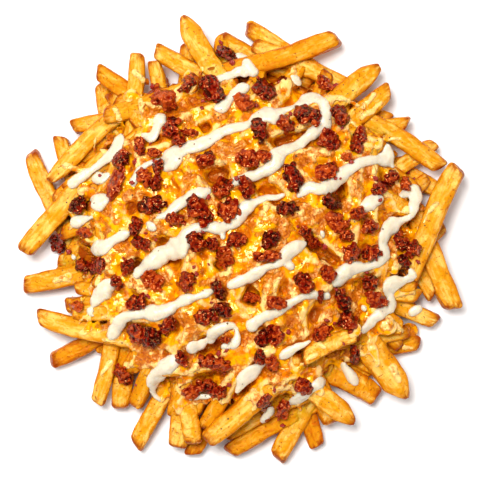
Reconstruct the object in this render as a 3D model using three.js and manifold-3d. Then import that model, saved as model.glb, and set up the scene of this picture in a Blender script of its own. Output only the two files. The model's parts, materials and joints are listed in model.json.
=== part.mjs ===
// A heap of loaded french fries: skin-on fries piled into a low round mound,
// melted cheese over the top, a thick ivory drizzle and crumbles of fried bacon.
// Millimetres, +Z up. The origin is the middle of the flat bottom.
import * as THREE from 'three';
import { mergeVertices } from 'three/addons/utils/BufferGeometryUtils.js';
import Module from 'manifold-3d';

const wasm = await Module();
wasm.setup();

// The fries: cut square from whole potatoes
const FRY_WIDTH = 9.5;
const FRY_HEIGHT = 9.0;
const FRY_TUCK = 16; // how far a fry runs on under the heap
const FRY_STEPS = 3;
const FRY_BEND = 2.2;
const FRY_END_SCALE = 0.8;
const FRY_SLANT = 2.5;
const FRY_WOBBLE = 0.05; // share by which a fry's width varies along it
const FLOOR_AXIS = 4.4; // axis height of a fry that lies on the table
const CROSSING_REACH = 0.85; // share of two fries' mean width within which they touch
const CROSSING_RISE = 0.9; // share of a fry's height by which one lies over another
const SETTLE_PASSES = 12;
const SETTLE_SAMPLES = 8;
const SETTLED = 0.1; // a smaller lift than this is left

// The mound that the fries make together
const PILE_HEIGHT = 42;
const PILE_SPAN = 122; // radius where the mound's curve would meet the table
const CORE_RADIUS = 88;
const CORE_TOP_RADIUS = 80;
const CORE_SIDES = 24;
const CORE_RINGS = 5;

// The fries that lie lowest and fill the gaps round the mound
const FILL_COUNT = 20;
const FILL_REACH = 95;
const FILL_REACH_SPREAD = 3;
const FILL_LENGTH = 52;
const FILL_TURN = 0.9; // most that one turns from the mound's middle, in radians
const FILL_STAGGER = 0.3;
const FILL_RISE = 4;

// The melted cheese
const CHEESE_RADIUS = 93;
const CHEESE_LEAN = 4; // how far the outline lies to the right
const CHEESE_LEAN_TURN = 0.3;
const CHEESE_WAVES = [[2.4, 7, 0], [1.8, 11, 1]]; // depth, waves round the outline, turn
const CHEESE_THICKNESS = 4.6;
const CHEESE_EDGE = 1.6;
const CHEESE_EDGE_LIFT = 4; // the sheet's edge rests on the fries that stand out round it
const CHEESE_CELLS = 9;
const CHEESE_RELIEF = 1.3;
const RIDGE_SINK = 2; // how far a coated fry's axis lies under the cheese's face
const RIDGE_COAT = 2; // width that the cheese adds to a coated fry

// The drizzle
const DRIZZLE_SIDES = 5;
const DRIZZLE_RINGS = 1.2; // rings of vertices for each point of a strand
const DRIZZLE_RISE = 0.62; // height over width of a strand
const DRIZZLE_LIFT = 0.3; // height of a strand's middle over the cheese
const DRIZZLE_END_SINK = 0.5;
const DRIZZLE_END_SCALE = 0.6;

// The bacon
const BACON_HEIGHT = 0.75; // height over width of a crumble
const BACON_TALLEST = 4; // most that a crumble reaches above its middle
const BACON_SEAT = 1.8; // height of a crumble's middle over what carries it
const SINGLE_LUMP = 14; // crumbles shorter than this are one lump
const LUMP_SPREAD = 0.8; // most that two lumps lie apart, over a crumble's width
const LUMP_OVERLAP = 0.9;
const LUMP_SHIFT = 0.12; // most that a lump lies beside the crumble's line, over its width
const LUMP_WIDTH = 0.94;
const LUMP_VARIETY = 0.1;
const BACON_ROUGHNESS = 0.16;
const BACON_LIFT = 0.25;
const BACON_STEPS = 10;
const REST_REACH = 0.6; // share of a crumble's half length at which its rest is felt
const REST_SPOTS = 6;

// Clear gap between neighbouring pieces
const GAP = 0.35;

// A block under the table's level that cuts the heap flat
const TABLE_SPAN = 400;
const TABLE_DEPTH = 40;
const ABOVE_ALL = 200;

// Where the count of each kind of fry starts, so that no two are alike
const TOP_INDEX = 90;
const FILL_INDEX = 100;
const COATED_INDEX = 200;

// Height of a fry's axis at its tip, and how far it lies under the mound's surface
// at its root, for each layer of the rim
const LAYER_TIP = [FLOOR_AXIS, 6, 9, 13];
const LAYER_DEPTH = [18, 12, 6, -3];
const LOWEST_ROOT = 5;
const TIP_LIFT = 7; // most that a fry is raised by those below it
const ROOT_LIFT = 3;

// The fries that show round the rim, clockwise from the left:
// tip x, tip y, root x, root y, layer, width
const RIM_FRIES = [
  [-116, 47, -95, 3, 0, 10], [-100, 56, -87, 24, 0, 9], [-105, 31, -67, 66, 2, 10],
  [-93, 61, -56, 67, 1, 9], [-77, 85, -73, 43, 0, 9], [-79, 92, -42, 66, 1, 10],
  [-57, 101, -60, 62, 2, 9], [-75, 67, -38, 79, 3, 10], [-48, 97, -42, 59, 1, 9],
  [-47, 103, -14, 80, 2, 10], [-31, 119, -9, 85, 3, 11], [-30, 107, -34, 70, 0, 9],
  [-11, 111, 24, 92, 1, 9], [4, 114, 41, 92, 1, 10], [52, 108, -2, 93, 3, 10],
  [62, 82, 21, 100, 1, 10], [75, 93, 41, 69, 3, 10], [81, 81, 48, 57, 2, 10],
  [82, 65, 52, 77, 0, 9], [92, 63, 57, 63, 1, 9], [110, 39, 74, 61, 2, 10],
  [106, 52, 79, 35, 1, 9], [109, 26, 76, 40, 0, 10], [118, 38, 98, -7, 3, 11],
  [112, 7, 85, -13, 0, 9], [115, -37, 100, 2, 2, 11], [106, -32, 90, 2, 1, 9],
  [108, -46, 72, -35, 1, 9], [98, -58, 57, -63, 0, 10], [87, -87, 59, -52, 2, 14],
  [79, -91, 52, -64, 1, 9], [60, -100, 41, -70, 2, 10], [48, -100, 32, -70, 1, 10],
  [41, -114, 26, -81, 0, 10], [21, -120, 41, -81, 1, 10], [-4, -117, 35, -97, 1, 10],
  [-18, -111, 21, -81, 3, 10], [-10, -109, 30, -90, 2, 9], [-38, -110, -37, -92, 2, 10],
  [-30, -112, -28, -97, 2, 10], [-27, -118, -12, -89, 0, 9], [-56, -113, -35, -74, 1, 10],
  [-67, -94, -58, -53, 1, 9], [-79, -90, -72, -48, 2, 7], [-103, -67, -64, -46, 0, 10],
  [-110, -45, -65, -55, 2, 10], [-97, -37, -58, -35, 0, 10], [-118, -25, -75, -14, 1, 10],
  [-118, -7, -82, 36, 2, 11], [-101, -13, -64, -4, 0, 9],
];

// The bare fry on top: from x, from y, to x, to y, and its ends' height over the mound
const TOP_FRY = [34, -66, 63, -52];
const TOP_FRY_LIFT = [4, 5];

// Fries that stand out under the melted cheese: from x, from y, to x, to y
const COATED_FRIES = [
  [-36, 60, -10, 70], [-31, 45, -26, 18], [16, 20, 7, -10], [74, 25, 93, 14],
  [28, 10, 46, 20], [-38, -62, -20, -42], [18, -84, 29, -62], [-78, 20, -60, 4],
  [-60, 62, -44, 74], [70, -42, 87, -49],
];

// Drizzle strands, each a row of x, y and width
const DRIZZLE = [
  [[-15, 89, 4], [-8, 90, 5], [-2, 92, 4]],
  [[-1, 103, 4], [2, 99, 6], [6, 94, 6]],
  [[28, 91, 4], [31, 87, 5], [34, 84, 3]],
  [[-54, 56, 7], [-48, 58, 6], [-42, 67, 5]],
  [[-15, 73, 4], [-8, 75, 5], [-4, 81, 6], [3, 85, 4]],
  [[-59, 29, 4], [-50, 41, 5], [-42, 44, 9], [-28, 51, 7], [-12, 61, 6], [6, 66, 6],
    [14, 70, 7], [31, 74, 4], [46, 78, 7], [50, 67, 6]],
  [[50, 66, 6], [37, 56, 6], [22, 47, 7], [9, 37, 6], [-4, 30, 4]],
  [[-17, 26, 4], [-31, 20, 7], [-45, 12, 4], [-51, 3, 4]],
  [[82, 54, 4], [81, 47, 6], [65, 41, 6], [51, 30, 8], [34, 26, 7], [29, 21, 4]],
  [[24, 23, 4], [8, 19, 6], [-3, 8, 7], [-18, 6, 8], [-27, 6, 6], [-32, -4, 10],
    [-39, -7, 11], [-52, -14, 5], [-63, -25, 4]],
  [[-71, -25, 8], [-82, -36, 9], [-83, -42, 6]],
  [[-62, 4, 5], [-74, -4, 8], [-85, -7, 6]],
  [[87, 22, 4], [98, 25, 8], [95, 14, 7], [93, 9, 5], [82, 1, 6], [79, -12, 7],
    [61, -18, 10], [46, -34, 6]],
  [[40, -32, 6], [21, -40, 7], [6, -47, 6], [3, -52, 6]],
  [[-3, -58, 5], [-4, -49, 5], [-16, -54, 6], [-25, -62, 8], [-38, -68, 8], [-49, -79, 7],
    [-48, -90, 4], [-40, -97, 4]],
  [[76, 22, 4], [71, 19, 8], [67, 15, 5]],
  [[45, 2, 7], [38, -3, 5], [25, -11, 7], [28, -16, 7], [15, -14, 4], [3, -24, 6],
    [-9, -28, 4]],
  [[-16, -29, 4], [-30, -36, 7], [-54, -42, 5], [-70, -50, 7], [-74, -64, 4]],
  [[94, -16, 4], [95, -21, 6], [84, -30, 8], [79, -43, 7], [67, -53, 4]],
  [[43, -56, 3], [27, -64, 5], [9, -73, 4], [-1, -81, 6], [-5, -86, 4]],
  [[47, -80, 4], [36, -88, 6], [27, -94, 3]],
  [[18, -95, 3], [15, -100, 5], [12, -104, 2]],
  [[58, -72, 4], [61, -77, 5], [65, -84, 4]],
  [[-67, 59, 5], [-68, 52, 5], [-81, 41, 5], [-95, 30, 8]],
  [[-75, 23, 6], [-84, 16, 6]],
  [[-86, 12, 4], [-96, 8, 4]],
];

// Bacon crumbles: x, y, length, width, heading in degrees
const BACON = [
  [-42, 76, 21, 12, -45], [-16, 81, 19, 12, -50], [-8, 101, 14, 8, -20],
  [1, 74, 13, 10, -60], [13, 81, 15, 12, -40], [36, 67, 16, 12, -15], [24, 62, 13, 9, -70],
  [10, 58, 14, 10, -80], [54, 67, 13, 10, -45], [48, 53, 14, 12, -30], [64, 54, 18, 9, 65],
  [-37, 58, 16, 11, 60], [-55, 50, 12, 7, -75], [-65, 43, 13, 10, 45], [-68, 29, 19, 9, 70],
  [-50, 31, 14, 10, 0], [-48, 18, 16, 11, 5], [-19, 42, 12, 9, 40],
  [6, 43, 19, 11, 0], [-10, 27, 13, 11, 60], [3, 28, 14, 10, -70], [-22, 14, 19, 12, -50],
  [-7, 15, 15, 13, 10], [-21, -2, 18, 10, -20], [-2, -1, 12, 10, -20],
  [-9, -11, 13, 10, -70], [15, -5, 15, 12, 60], [28, 32, 20, 10, -80], [25, 16, 12, 9, 0],
  [46, 36, 15, 10, 30], [49, 20, 12, 10, 0], [51, 9, 15, 11, -60], [67, 9, 15, 10, 45],
  [66, -8, 21, 11, 0], [78, 30, 17, 9, 40], [38, 0, 14, 8, -30], [90, -5, 16, 12, -50],
  [34, -24, 14, 10, -45], [47, -19, 11, 9, -50], [72, -29, 17, 11, -45], [56, -40, 20, 11, -60],
  [44, -51, 12, 9, 30], [18, -35, 14, 9, -10], [-12, -33, 18, 10, -60], [-19, -43, 13, 10, 20],
  [-29, -23, 13, 10, 40], [-40, -48, 12, 9, 40], [-53, -54, 19, 14, -20], [-57, -35, 13, 10, 0],
  [-48, -23, 14, 11, -30], [-64, -20, 15, 9, 60], [-82, -15, 17, 11, 0], [-100, -5, 12, 10, -60],
];

const FRY_COLOUR = '#F2AE2E';
const CHEESE_COLOUR = '#FBB12C';
const BACON_COLOUR = '#8E1F14';

// A repeatable value from -1 to 1 for item i, kind k
function scatter(i, k) {
  const wave = Math.sin(i * 12.9898 + k * 78.233) * 43758.5453;
  return 2 * (wave - Math.floor(wave)) - 1;
}

// Height of the mound of fries at a distance from its middle
function pileHeight(radius) {
  return PILE_HEIGHT * (1 - (radius / PILE_SPAN) ** 2);
}

// Radius of the cheese's wavy outline in a direction
function cheeseReach(angle) {
  let reach = CHEESE_RADIUS + CHEESE_LEAN * Math.cos(angle + CHEESE_LEAN_TURN);
  for (const [depth, waves, turn] of CHEESE_WAVES) reach += depth * Math.sin(waves * angle + turn);
  return reach;
}

// How far out a point is in the cheese, from 0 in the middle to 1 at the outline
function cheeseShare(x, y) {
  return Math.min(1, Math.hypot(x, y) / cheeseReach(Math.atan2(y, x)));
}

// Height of the cheese's underside
function cheeseBottom(x, y) {
  return pileHeight(Math.hypot(x, y)) + GAP + CHEESE_EDGE_LIFT * cheeseShare(x, y) ** 6;
}

// Slow swells of the cheese, about 40 mm from crest to crest
function cheeseSwell(x, y) {
  const squares = Math.sin(0.17 * x + 0.6) * Math.sin(0.15 * y + 1.1);
  const slants = 0.6 * Math.sin(0.2 * x - 0.23 * y);
  return squares + slants;
}

// Height of the cheese's upper face
function cheeseTop(x, y) {
  const share = cheeseShare(x, y);
  const thickness = CHEESE_EDGE + (CHEESE_THICKNESS - CHEESE_EDGE) * (1 - share ** 6);
  return cheeseBottom(x, y) + thickness + CHEESE_RELIEF * cheeseSwell(x, y) * (1 - share ** 4);
}

// A closed solid from a geometry whose vertices meet
function solidOf(geometry) {
  const bare = geometry.clone();
  bare.deleteAttribute('normal');
  bare.deleteAttribute('uv');
  const merged = mergeVertices(bare, 1e-4);
  const corners = merged.index.array;
  const triangles = [];
  for (let i = 0; i < corners.length; i += 3) {
    const [a, b, c] = [corners[i], corners[i + 1], corners[i + 2]];
    if (a !== b && b !== c && c !== a) triangles.push(a, b, c);
  }
  return new wasm.Manifold(new wasm.Mesh({
    numProp: 3,
    vertProperties: new Float32Array(merged.attributes.position.array),
    triVerts: new Uint32Array(triangles),
  }));
}

function geometryOf(solid) {
  const mesh = solid.getMesh();
  const geometry = new THREE.BufferGeometry();
  geometry.setAttribute('position', new THREE.BufferAttribute(new Float32Array(mesh.vertProperties), 3));
  geometry.setIndex(new THREE.BufferAttribute(new Uint32Array(mesh.triVerts), 1));
  geometry.computeVertexNormals();
  return geometry;
}

function joined(solids) {
  return wasm.Manifold.union(solids);
}

// The largest body of a solid, without loose scraps
function mainBody(solid) {
  const bodies = solid.decompose();
  bodies.sort((a, b) => b.volume() - a.volume());
  return bodies[0];
}

// Moves each vertex of a geometry by a rule
function reshape(geometry, rule) {
  const position = geometry.attributes.position;
  const point = new THREE.Vector3();
  for (let i = 0; i < position.count; i += 1) {
    point.fromBufferAttribute(position, i);
    rule(point);
    position.setXYZ(i, point.x, point.y, point.z);
  }
  return geometry;
}

// One fry from start to end: a square stick with eased corners, cut ends and a slight bend
function frySolid(start, end, width, index, grow = 0) {
  const along = new THREE.Vector3().subVectors(end, start);
  const length = along.length();
  const box = new THREE.BoxGeometry(1, 1, 1, FRY_STEPS, 1, 1);
  reshape(box, (p) => {
    const share = 2 * p.x;
    const endness = Math.abs(share) ** 5;
    const wobble = FRY_WOBBLE * scatter(index, Math.round(FRY_STEPS * p.x + 2));
    const taper = 1 - (1 - FRY_END_SCALE) * endness + wobble;
    const across = p.y * taper * width;
    const up = p.z * taper * FRY_HEIGHT;
    const sag = FRY_BEND * (1 - share * share) * scatter(index, 7);
    p.x = p.x * length + share ** 3 * 0.5 * FRY_SLANT * scatter(index, 8) * Math.sign(p.y);
    p.x += Math.sign(share) * grow;
    p.y = across + sag + Math.sign(across) * grow;
    p.z = up + Math.sign(up) * grow;
  });
  along.normalize();
  const side = new THREE.Vector3(0, 0, 1).cross(along).normalize();
  const upward = new THREE.Vector3().crossVectors(along, side);
  const middle = new THREE.Vector3().addVectors(start, end).multiplyScalar(0.5);
  box.applyMatrix4(new THREE.Matrix4().makeBasis(along, side, upward).setPosition(middle));
  return solidOf(box);
}

// Lifts each fry over those already laid, from the lowest layer up
function settle(rows) {
  const laid = [];
  for (const row of rows) {
    const { start, end, width } = row;
    for (let pass = 0; pass < SETTLE_PASSES; pass += 1) {
      let worst = 0;
      let where = 0;
      for (let step = 0; step <= SETTLE_SAMPLES; step += 1) {
        const share = step / SETTLE_SAMPLES;
        const point = new THREE.Vector3().lerpVectors(start, end, share);
        for (const other of laid) {
          const near = other.line.closestPointToPointParameter(point.clone().setZ(other.line.start.z), true);
          const under = new THREE.Vector3().lerpVectors(other.start, other.end, near);
          const reach = 0.5 * (width + other.width) * CROSSING_REACH;
          const apart = Math.hypot(point.x - under.x, point.y - under.y);
          if (apart < reach) {
            const rise = FRY_HEIGHT * CROSSING_RISE * Math.sqrt(1 - (apart / reach) ** 2);
            const need = under.z + rise;
            if (need - point.z > worst) [worst, where] = [need - point.z, share];
          }
        }
      }
      if (worst < SETTLED) break;
      start.z += worst * (1 - where);
      end.z += worst * where;
    }
    start.z = Math.min(start.z, row.tipLimit);
    end.z = Math.min(end.z, row.rootLimit);
    const flatStart = start.clone().setZ(0);
    const flatEnd = end.clone().setZ(0);
    laid.push({ start, end, width, line: new THREE.Line3(flatStart, flatEnd) });
  }
}

// Height of a rim fry's axis where it goes in under the cheese
function rootHeight(x, y, layer) {
  return Math.max(LOWEST_ROOT, pileHeight(Math.hypot(x, y)) - LAYER_DEPTH[layer]);
}

// The fries of the rim with their heights, tucked in under the heap
function rimRows() {
  const rows = RIM_FRIES.map(([tipX, tipY, rootX, rootY, layer, width], index) => ({
    start: new THREE.Vector3(tipX, tipY, LAYER_TIP[layer]),
    end: new THREE.Vector3(rootX, rootY, rootHeight(rootX, rootY, layer)),
    tipLimit: LAYER_TIP[layer] + TIP_LIFT,
    rootLimit: rootHeight(rootX, rootY, layer) + ROOT_LIFT,
    width,
    layer,
    index,
  }));
  rows.sort((a, b) => a.layer - b.layer || a.index - b.index);
  settle(rows);
  return rows;
}

// The low fries that close the gaps round the mound
function fillRows() {
  const rows = [];
  for (let i = 0; i < FILL_COUNT; i += 1) {
    const angle = (2 * Math.PI * (i + FILL_STAGGER * scatter(i, 1))) / FILL_COUNT;
    const heading = angle + FILL_TURN * scatter(i, 2);
    const reach = FILL_REACH + FILL_REACH_SPREAD * scatter(i, 3);
    const height = i % 2 ? FLOOR_AXIS + FRY_HEIGHT : FLOOR_AXIS;
    const start = new THREE.Vector3(reach * Math.cos(angle), reach * Math.sin(angle), height);
    const end = start.clone();
    end.x -= FILL_LENGTH * Math.cos(heading);
    end.y -= FILL_LENGTH * Math.sin(heading);
    end.z += FILL_RISE;
    rows.push({ start, end, width: FRY_WIDTH, index: FILL_INDEX + i });
  }
  return rows;
}

// The solid middle of the mound, flat below
function coreSolid(grow = 0) {
  const profile = [new THREE.Vector2(0, 0), new THREE.Vector2(CORE_RADIUS + grow, 0)];
  for (let ring = CORE_RINGS; ring >= 0; ring -= 1) {
    const radius = (CORE_TOP_RADIUS * ring) / CORE_RINGS;
    profile.push(new THREE.Vector2(radius, pileHeight(radius) + grow));
  }
  const lathe = new THREE.LatheGeometry(profile, CORE_SIDES);
  lathe.rotateX(Math.PI / 2);
  return solidOf(lathe);
}

// All the fries and their core as one body, level on the table
function friesSolid(grow = 0) {
  const solids = [coreSolid(grow)];
  for (const row of [...rimRows(), ...fillRows()]) {
    const inward = new THREE.Vector3().subVectors(row.end, row.start).setZ(0).normalize();
    const tucked = row.end.clone().addScaledVector(inward, FRY_TUCK);
    solids.push(frySolid(row.start, tucked, row.width, row.index, grow));
  }
  const [fromX, fromY, toX, toY] = TOP_FRY;
  const [fromLift, toLift] = TOP_FRY_LIFT;
  const start = new THREE.Vector3(fromX, fromY, pileHeight(Math.hypot(fromX, fromY)) + fromLift);
  const end = new THREE.Vector3(toX, toY, pileHeight(Math.hypot(toX, toY)) + toLift);
  solids.push(frySolid(start, end, FRY_WIDTH, TOP_INDEX, grow));
  const table = new THREE.BoxGeometry(TABLE_SPAN, TABLE_SPAN, TABLE_DEPTH);
  table.translate(0, 0, -TABLE_DEPTH / 2);
  return joined(solids).subtract(solidOf(table));
}

// The sheet of cheese over the mound, without what lies on it
function cheeseSheet(grow = 0) {
  const sheet = new THREE.BoxGeometry(2, 2, 2, CHEESE_CELLS, CHEESE_CELLS, 1);
  reshape(sheet, (p) => {
    const x = p.x * Math.sqrt(1 - (p.y * p.y) / 2);
    const y = p.y * Math.sqrt(1 - (p.x * p.x) / 2);
    const reach = cheeseReach(Math.atan2(y, x)) + grow;
    const upper = p.z > 0;
    p.x = x * reach;
    p.y = y * reach;
    p.z = upper ? cheeseTop(p.x, p.y) + grow : cheeseBottom(p.x, p.y) - grow;
  });
  return solidOf(sheet);
}

// A strand of drizzle along its row of points, lying on the cheese
function strandSolid(row, grow = 0) {
  const points = row.map(([x, y]) => new THREE.Vector3(x, y, 0));
  const path = new THREE.CatmullRomCurve3(points, false, 'centripetal');
  const steps = Math.ceil(DRIZZLE_RINGS * (row.length - 1));
  const tube = new THREE.CylinderGeometry(1, 1, 1, DRIZZLE_SIDES, steps);
  reshape(tube, (p) => {
    const share = Math.min(1, Math.max(0, p.y + 0.5));
    const at = path.getPoint(share);
    const along = path.getTangent(share);
    const place = share * (row.length - 1);
    const before = Math.min(row.length - 2, Math.floor(place));
    const width = THREE.MathUtils.lerp(row[before][2], row[before + 1][2], place - before);
    const isEnd = share < 0.001 || share > 0.999;
    const half = (width / 2) * (isEnd ? DRIZZLE_END_SCALE : 1);
    const across = p.x * (half + grow);
    const up = p.z * (half * DRIZZLE_RISE + grow);
    p.x = at.x + along.y * across;
    p.y = at.y - along.x * across;
    p.z = cheeseTop(at.x, at.y) + up + (isEnd ? -DRIZZLE_END_SINK : DRIZZLE_LIFT);
  });
  return solidOf(tube);
}

// A fry under the cheese, seen as a rounded ridge
function ridgeSolid([fromX, fromY, toX, toY], index, grow = 0) {
  const start = new THREE.Vector3(fromX, fromY, cheeseTop(fromX, fromY) - RIDGE_SINK);
  const end = new THREE.Vector3(toX, toY, cheeseTop(toX, toY) - RIDGE_SINK);
  return frySolid(start, end, FRY_WIDTH + RIDGE_COAT, COATED_INDEX + index, grow);
}

// The cheese with its ridges and the drizzle on it, clear of the fries
function cheeseSolid(fries, grow = 0) {
  const solids = [cheeseSheet(grow)];
  COATED_FRIES.forEach((row, index) => solids.push(ridgeSolid(row, index, grow)));
  for (const row of DRIZZLE) solids.push(strandSolid(row, grow));
  return mainBody(joined(solids).subtract(fries));
}

// Mean height of a carrier under a spot of the given radius
function restHeight(carrier, x, y, radius) {
  const ray = new THREE.Raycaster();
  const heights = [];
  for (let i = 0; i <= REST_SPOTS; i += 1) {
    const angle = (2 * Math.PI * i) / REST_SPOTS;
    const reach = i < REST_SPOTS ? radius * REST_REACH : 0;
    const [fromX, fromY] = [x + reach * Math.cos(angle), y + reach * Math.sin(angle)];
    const from = new THREE.Vector3(fromX, fromY, ABOVE_ALL);
    ray.set(from, new THREE.Vector3(0, 0, -1));
    const hits = ray.intersectObject(carrier);
    if (hits.length) heights.push(hits[0].point.z);
  }
  return heights.reduce((sum, height) => sum + height, 0) / heights.length;
}

// One craggy lump of bacon
function lumpSolid(centre, size, index) {
  const lump = new THREE.IcosahedronGeometry(1, 0);
  reshape(lump, (p) => {
    const key = Math.round(10 * p.x) + 7 * Math.round(10 * p.y) + 13 * Math.round(10 * p.z);
    p.multiplyScalar(1 + BACON_ROUGHNESS * scatter(index, key));
    p.multiply(size).add(centre);
  });
  return solidOf(lump);
}

// A bacon crumble: lumps along its length, lifted a little from what carries it and cut
// where it would still run into it
function baconSolid([x, y, length, width, heading], index, surface, carrier) {
  const turn = THREE.MathUtils.degToRad(heading);
  const rest = restHeight(surface, x, y, length / 2);
  const lumps = length < SINGLE_LUMP ? 1 : 2;
  const most = Math.min(length - LUMP_OVERLAP * width, LUMP_SPREAD * width);
  const spread = lumps === 1 ? 0 : most;
  const solids = [];
  for (let i = 0; i < lumps; i += 1) {
    const along = spread * (i - (lumps - 1) / 2);
    const side = LUMP_SHIFT * width * scatter(index, 20 + i);
    const half = 0.5 * width * (LUMP_WIDTH + LUMP_VARIETY * scatter(index, 30 + i));
    const height = Math.min(BACON_TALLEST, half * BACON_HEIGHT);
    const size = new THREE.Vector3(0.5 * (length - spread), half, height);
    const middle = new THREE.Vector3(along, side, 0);
    solids.push(lumpSolid(middle, size, 10 * index + i));
  }
  const place = new THREE.Matrix4().makeRotationZ(turn).setPosition(x, y, rest + BACON_SEAT);
  let crumble = mainBody(joined(solids).transform(place.elements));
  for (let step = 0; step < BACON_STEPS; step += 1) {
    if (crumble.intersect(carrier).isEmpty()) return crumble;
    crumble = crumble.translate([0, 0, BACON_LIFT]);
  }
  return mainBody(crumble.subtract(carrier));
}

function finish(colour, roughness) {
  return new THREE.MeshStandardMaterial({ color: colour, roughness, metalness: 0 });
}

function named(name, geometry, material) {
  const mesh = new THREE.Mesh(geometry, material);
  mesh.name = name;
  return mesh;
}

const fries = friesSolid();
const cheese = cheeseSolid(friesSolid(GAP));
const group = new THREE.Group();
group.add(named('fries', geometryOf(fries), finish(FRY_COLOUR, 0.6)));
group.add(named('melted_cheese', geometryOf(cheese), finish(CHEESE_COLOUR, 0.35)));

const surface = new THREE.Mesh(geometryOf(joined([fries, cheese])));
const carrier = joined([friesSolid(GAP), cheeseSolid(friesSolid(0), GAP)]);
BACON.forEach((row, index) => {
  const name = `bacon_${String(index + 1).padStart(2, '0')}`;
  const crumble = baconSolid(row, index, surface, carrier);
  group.add(named(name, geometryOf(crumble), finish(BACON_COLOUR, 0.4)));
});

export default group;
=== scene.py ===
"""Looks of a heap of loaded french fries, made round the heap's solid model.

Fries, melted cheese, an ivory drizzle and bacon crumbles are pieces of their own. Rows of
places are in millimetres, as measured on the heap, and lengths are in metres.
"""
import json
import math
import random

import bpy
import numpy as np
from bpy.props import FloatProperty, FloatVectorProperty, PointerProperty
from mathutils import Matrix, Vector, noise
from mathutils.bvhtree import BVHTree

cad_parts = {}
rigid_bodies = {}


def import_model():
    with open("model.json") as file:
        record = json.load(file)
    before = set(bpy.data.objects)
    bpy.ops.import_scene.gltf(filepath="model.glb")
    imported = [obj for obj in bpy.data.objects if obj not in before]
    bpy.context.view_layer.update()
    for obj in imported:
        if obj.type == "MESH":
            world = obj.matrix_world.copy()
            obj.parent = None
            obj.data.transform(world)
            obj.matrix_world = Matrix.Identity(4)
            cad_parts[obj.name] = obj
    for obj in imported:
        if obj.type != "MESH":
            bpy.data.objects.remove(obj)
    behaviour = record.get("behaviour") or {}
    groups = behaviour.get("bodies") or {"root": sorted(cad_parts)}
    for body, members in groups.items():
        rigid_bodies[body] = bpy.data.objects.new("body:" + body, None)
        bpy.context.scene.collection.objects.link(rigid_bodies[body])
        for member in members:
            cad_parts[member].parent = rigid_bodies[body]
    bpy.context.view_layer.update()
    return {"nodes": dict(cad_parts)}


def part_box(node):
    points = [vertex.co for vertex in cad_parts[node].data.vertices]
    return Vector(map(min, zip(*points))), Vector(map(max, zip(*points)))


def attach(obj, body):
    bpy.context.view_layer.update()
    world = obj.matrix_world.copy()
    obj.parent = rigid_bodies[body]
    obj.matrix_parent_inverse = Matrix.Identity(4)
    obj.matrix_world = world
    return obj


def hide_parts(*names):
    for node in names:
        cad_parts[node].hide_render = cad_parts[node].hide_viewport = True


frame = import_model()

bl_info = {
    "name": "Heap of loaded fries",
    "version": (1, 0, 0),
    "blender": (4, 5, 0),
    "location": "View3D > Sidebar > Fries",
    "description": "Fries, melted cheese, drizzle and bacon round the heap's solid model",
    "category": "Add Mesh",
}

MM = 0.001
BODY = "root"
TABLE_GAP = 0.05 * MM

# One straight fry, before it is bent and laid
MASTER_LENGTH = 70 * MM
MASTER_COUNT = 7
MASTER_CUTS = 26
EDGE_ROUNDING = 2.3 * MM
EDGE_STEPS = 4
FRY_BEND = 2.2 * MM
FRY_BOW = 1.0 * MM
FRY_TWIST = 0.16
FRY_SWELL = 0.8 * MM
FRY_RIPPLE = 0.4 * MM
FRY_PINCH = 0.45 * MM
FRY_WANDER = 0.5 * MM
FRY_END_SCALE = 0.74
FRY_SLANT = 3.0 * MM
FRY_TUCK = 16 * MM
BROWNED_END = 0.84
TAPERED_END = 0.62
FRY_PIECES = ("fries_rim", "fries_flank", "fries_pile", "fries_core")

# How fries lie over each other
CROSSING_REACH = 0.85
CROSSING_RISE = 0.9
SETTLE_PASSES = 12
SETTLE_SAMPLES = 8
SETTLED = 0.1 * MM
FLOOR_AXIS = 4.4 * MM
LAYER_TIP = [FLOOR_AXIS, 6 * MM, 9 * MM, 13 * MM]
LAYER_DEPTH = [18 * MM, 12 * MM, 6 * MM, -3 * MM]
LOWEST_ROOT = 5 * MM
TIP_LIFT = 7 * MM
ROOT_LIFT = 3 * MM

# The low fries that close the gaps round the mound
FILL_COUNT = 30
FILL_REACH = 101 * MM
FILL_REACH_SPREAD = 3 * MM
FILL_LENGTH = 52 * MM
FILL_TURN = 0.9
FILL_STAGGER = 0.3
FILL_RISE = 4 * MM
# These low fries show only in the gaps, and their darker tone is painted shade there.
FILL_SHADE_TONE = 0.45
FILL_INDEX = 100

# The fries of the mound's flank, in rings one over another: count, reach, height
FLANK_RINGS = [(22, 90 * MM, 4.4 * MM), (20, 87 * MM, 12.5 * MM), (18, 83 * MM, 19.5 * MM)]
FLANK_LENGTH = 46 * MM
FLANK_TURN = 1.25
FLANK_SPREAD = 2 * MM
# The flank fries show in the gaps between rim fries, and their darker tone is painted shade there.
FLANK_SHADE_TONE = 0.5
FLANK_INDEX = 300

# The core under all the fries
CORE_RINGS = 11
CORE_SIDES = 72
CORE_RADIUS = 94 * MM
CORE_TOP_INSET = 4 * MM
CORE_SINK = 9 * MM
CORE_VOXEL = 3 * MM
CORE_BULGE = 1.6 * MM

# The fries just under the cheese
PILE_COUNT = 78
PILE_REACH = 84 * MM
PILE_LENGTH = 58 * MM
PILE_SINK = 3.2 * MM
PILE_SPREAD = 3 * MM
PILE_TONE = 0.2
PILE_INDEX = 500
COATED_INDEX = 200
COATED_SINK = 3.4 * MM
TOP_INDEX = 90
TOP_FRY_LIFT = [7 * MM, 8 * MM]
TOP_FRY_BARE = 4.8 * MM
TOP_FRY_FADE = 1.5 * MM

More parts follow.
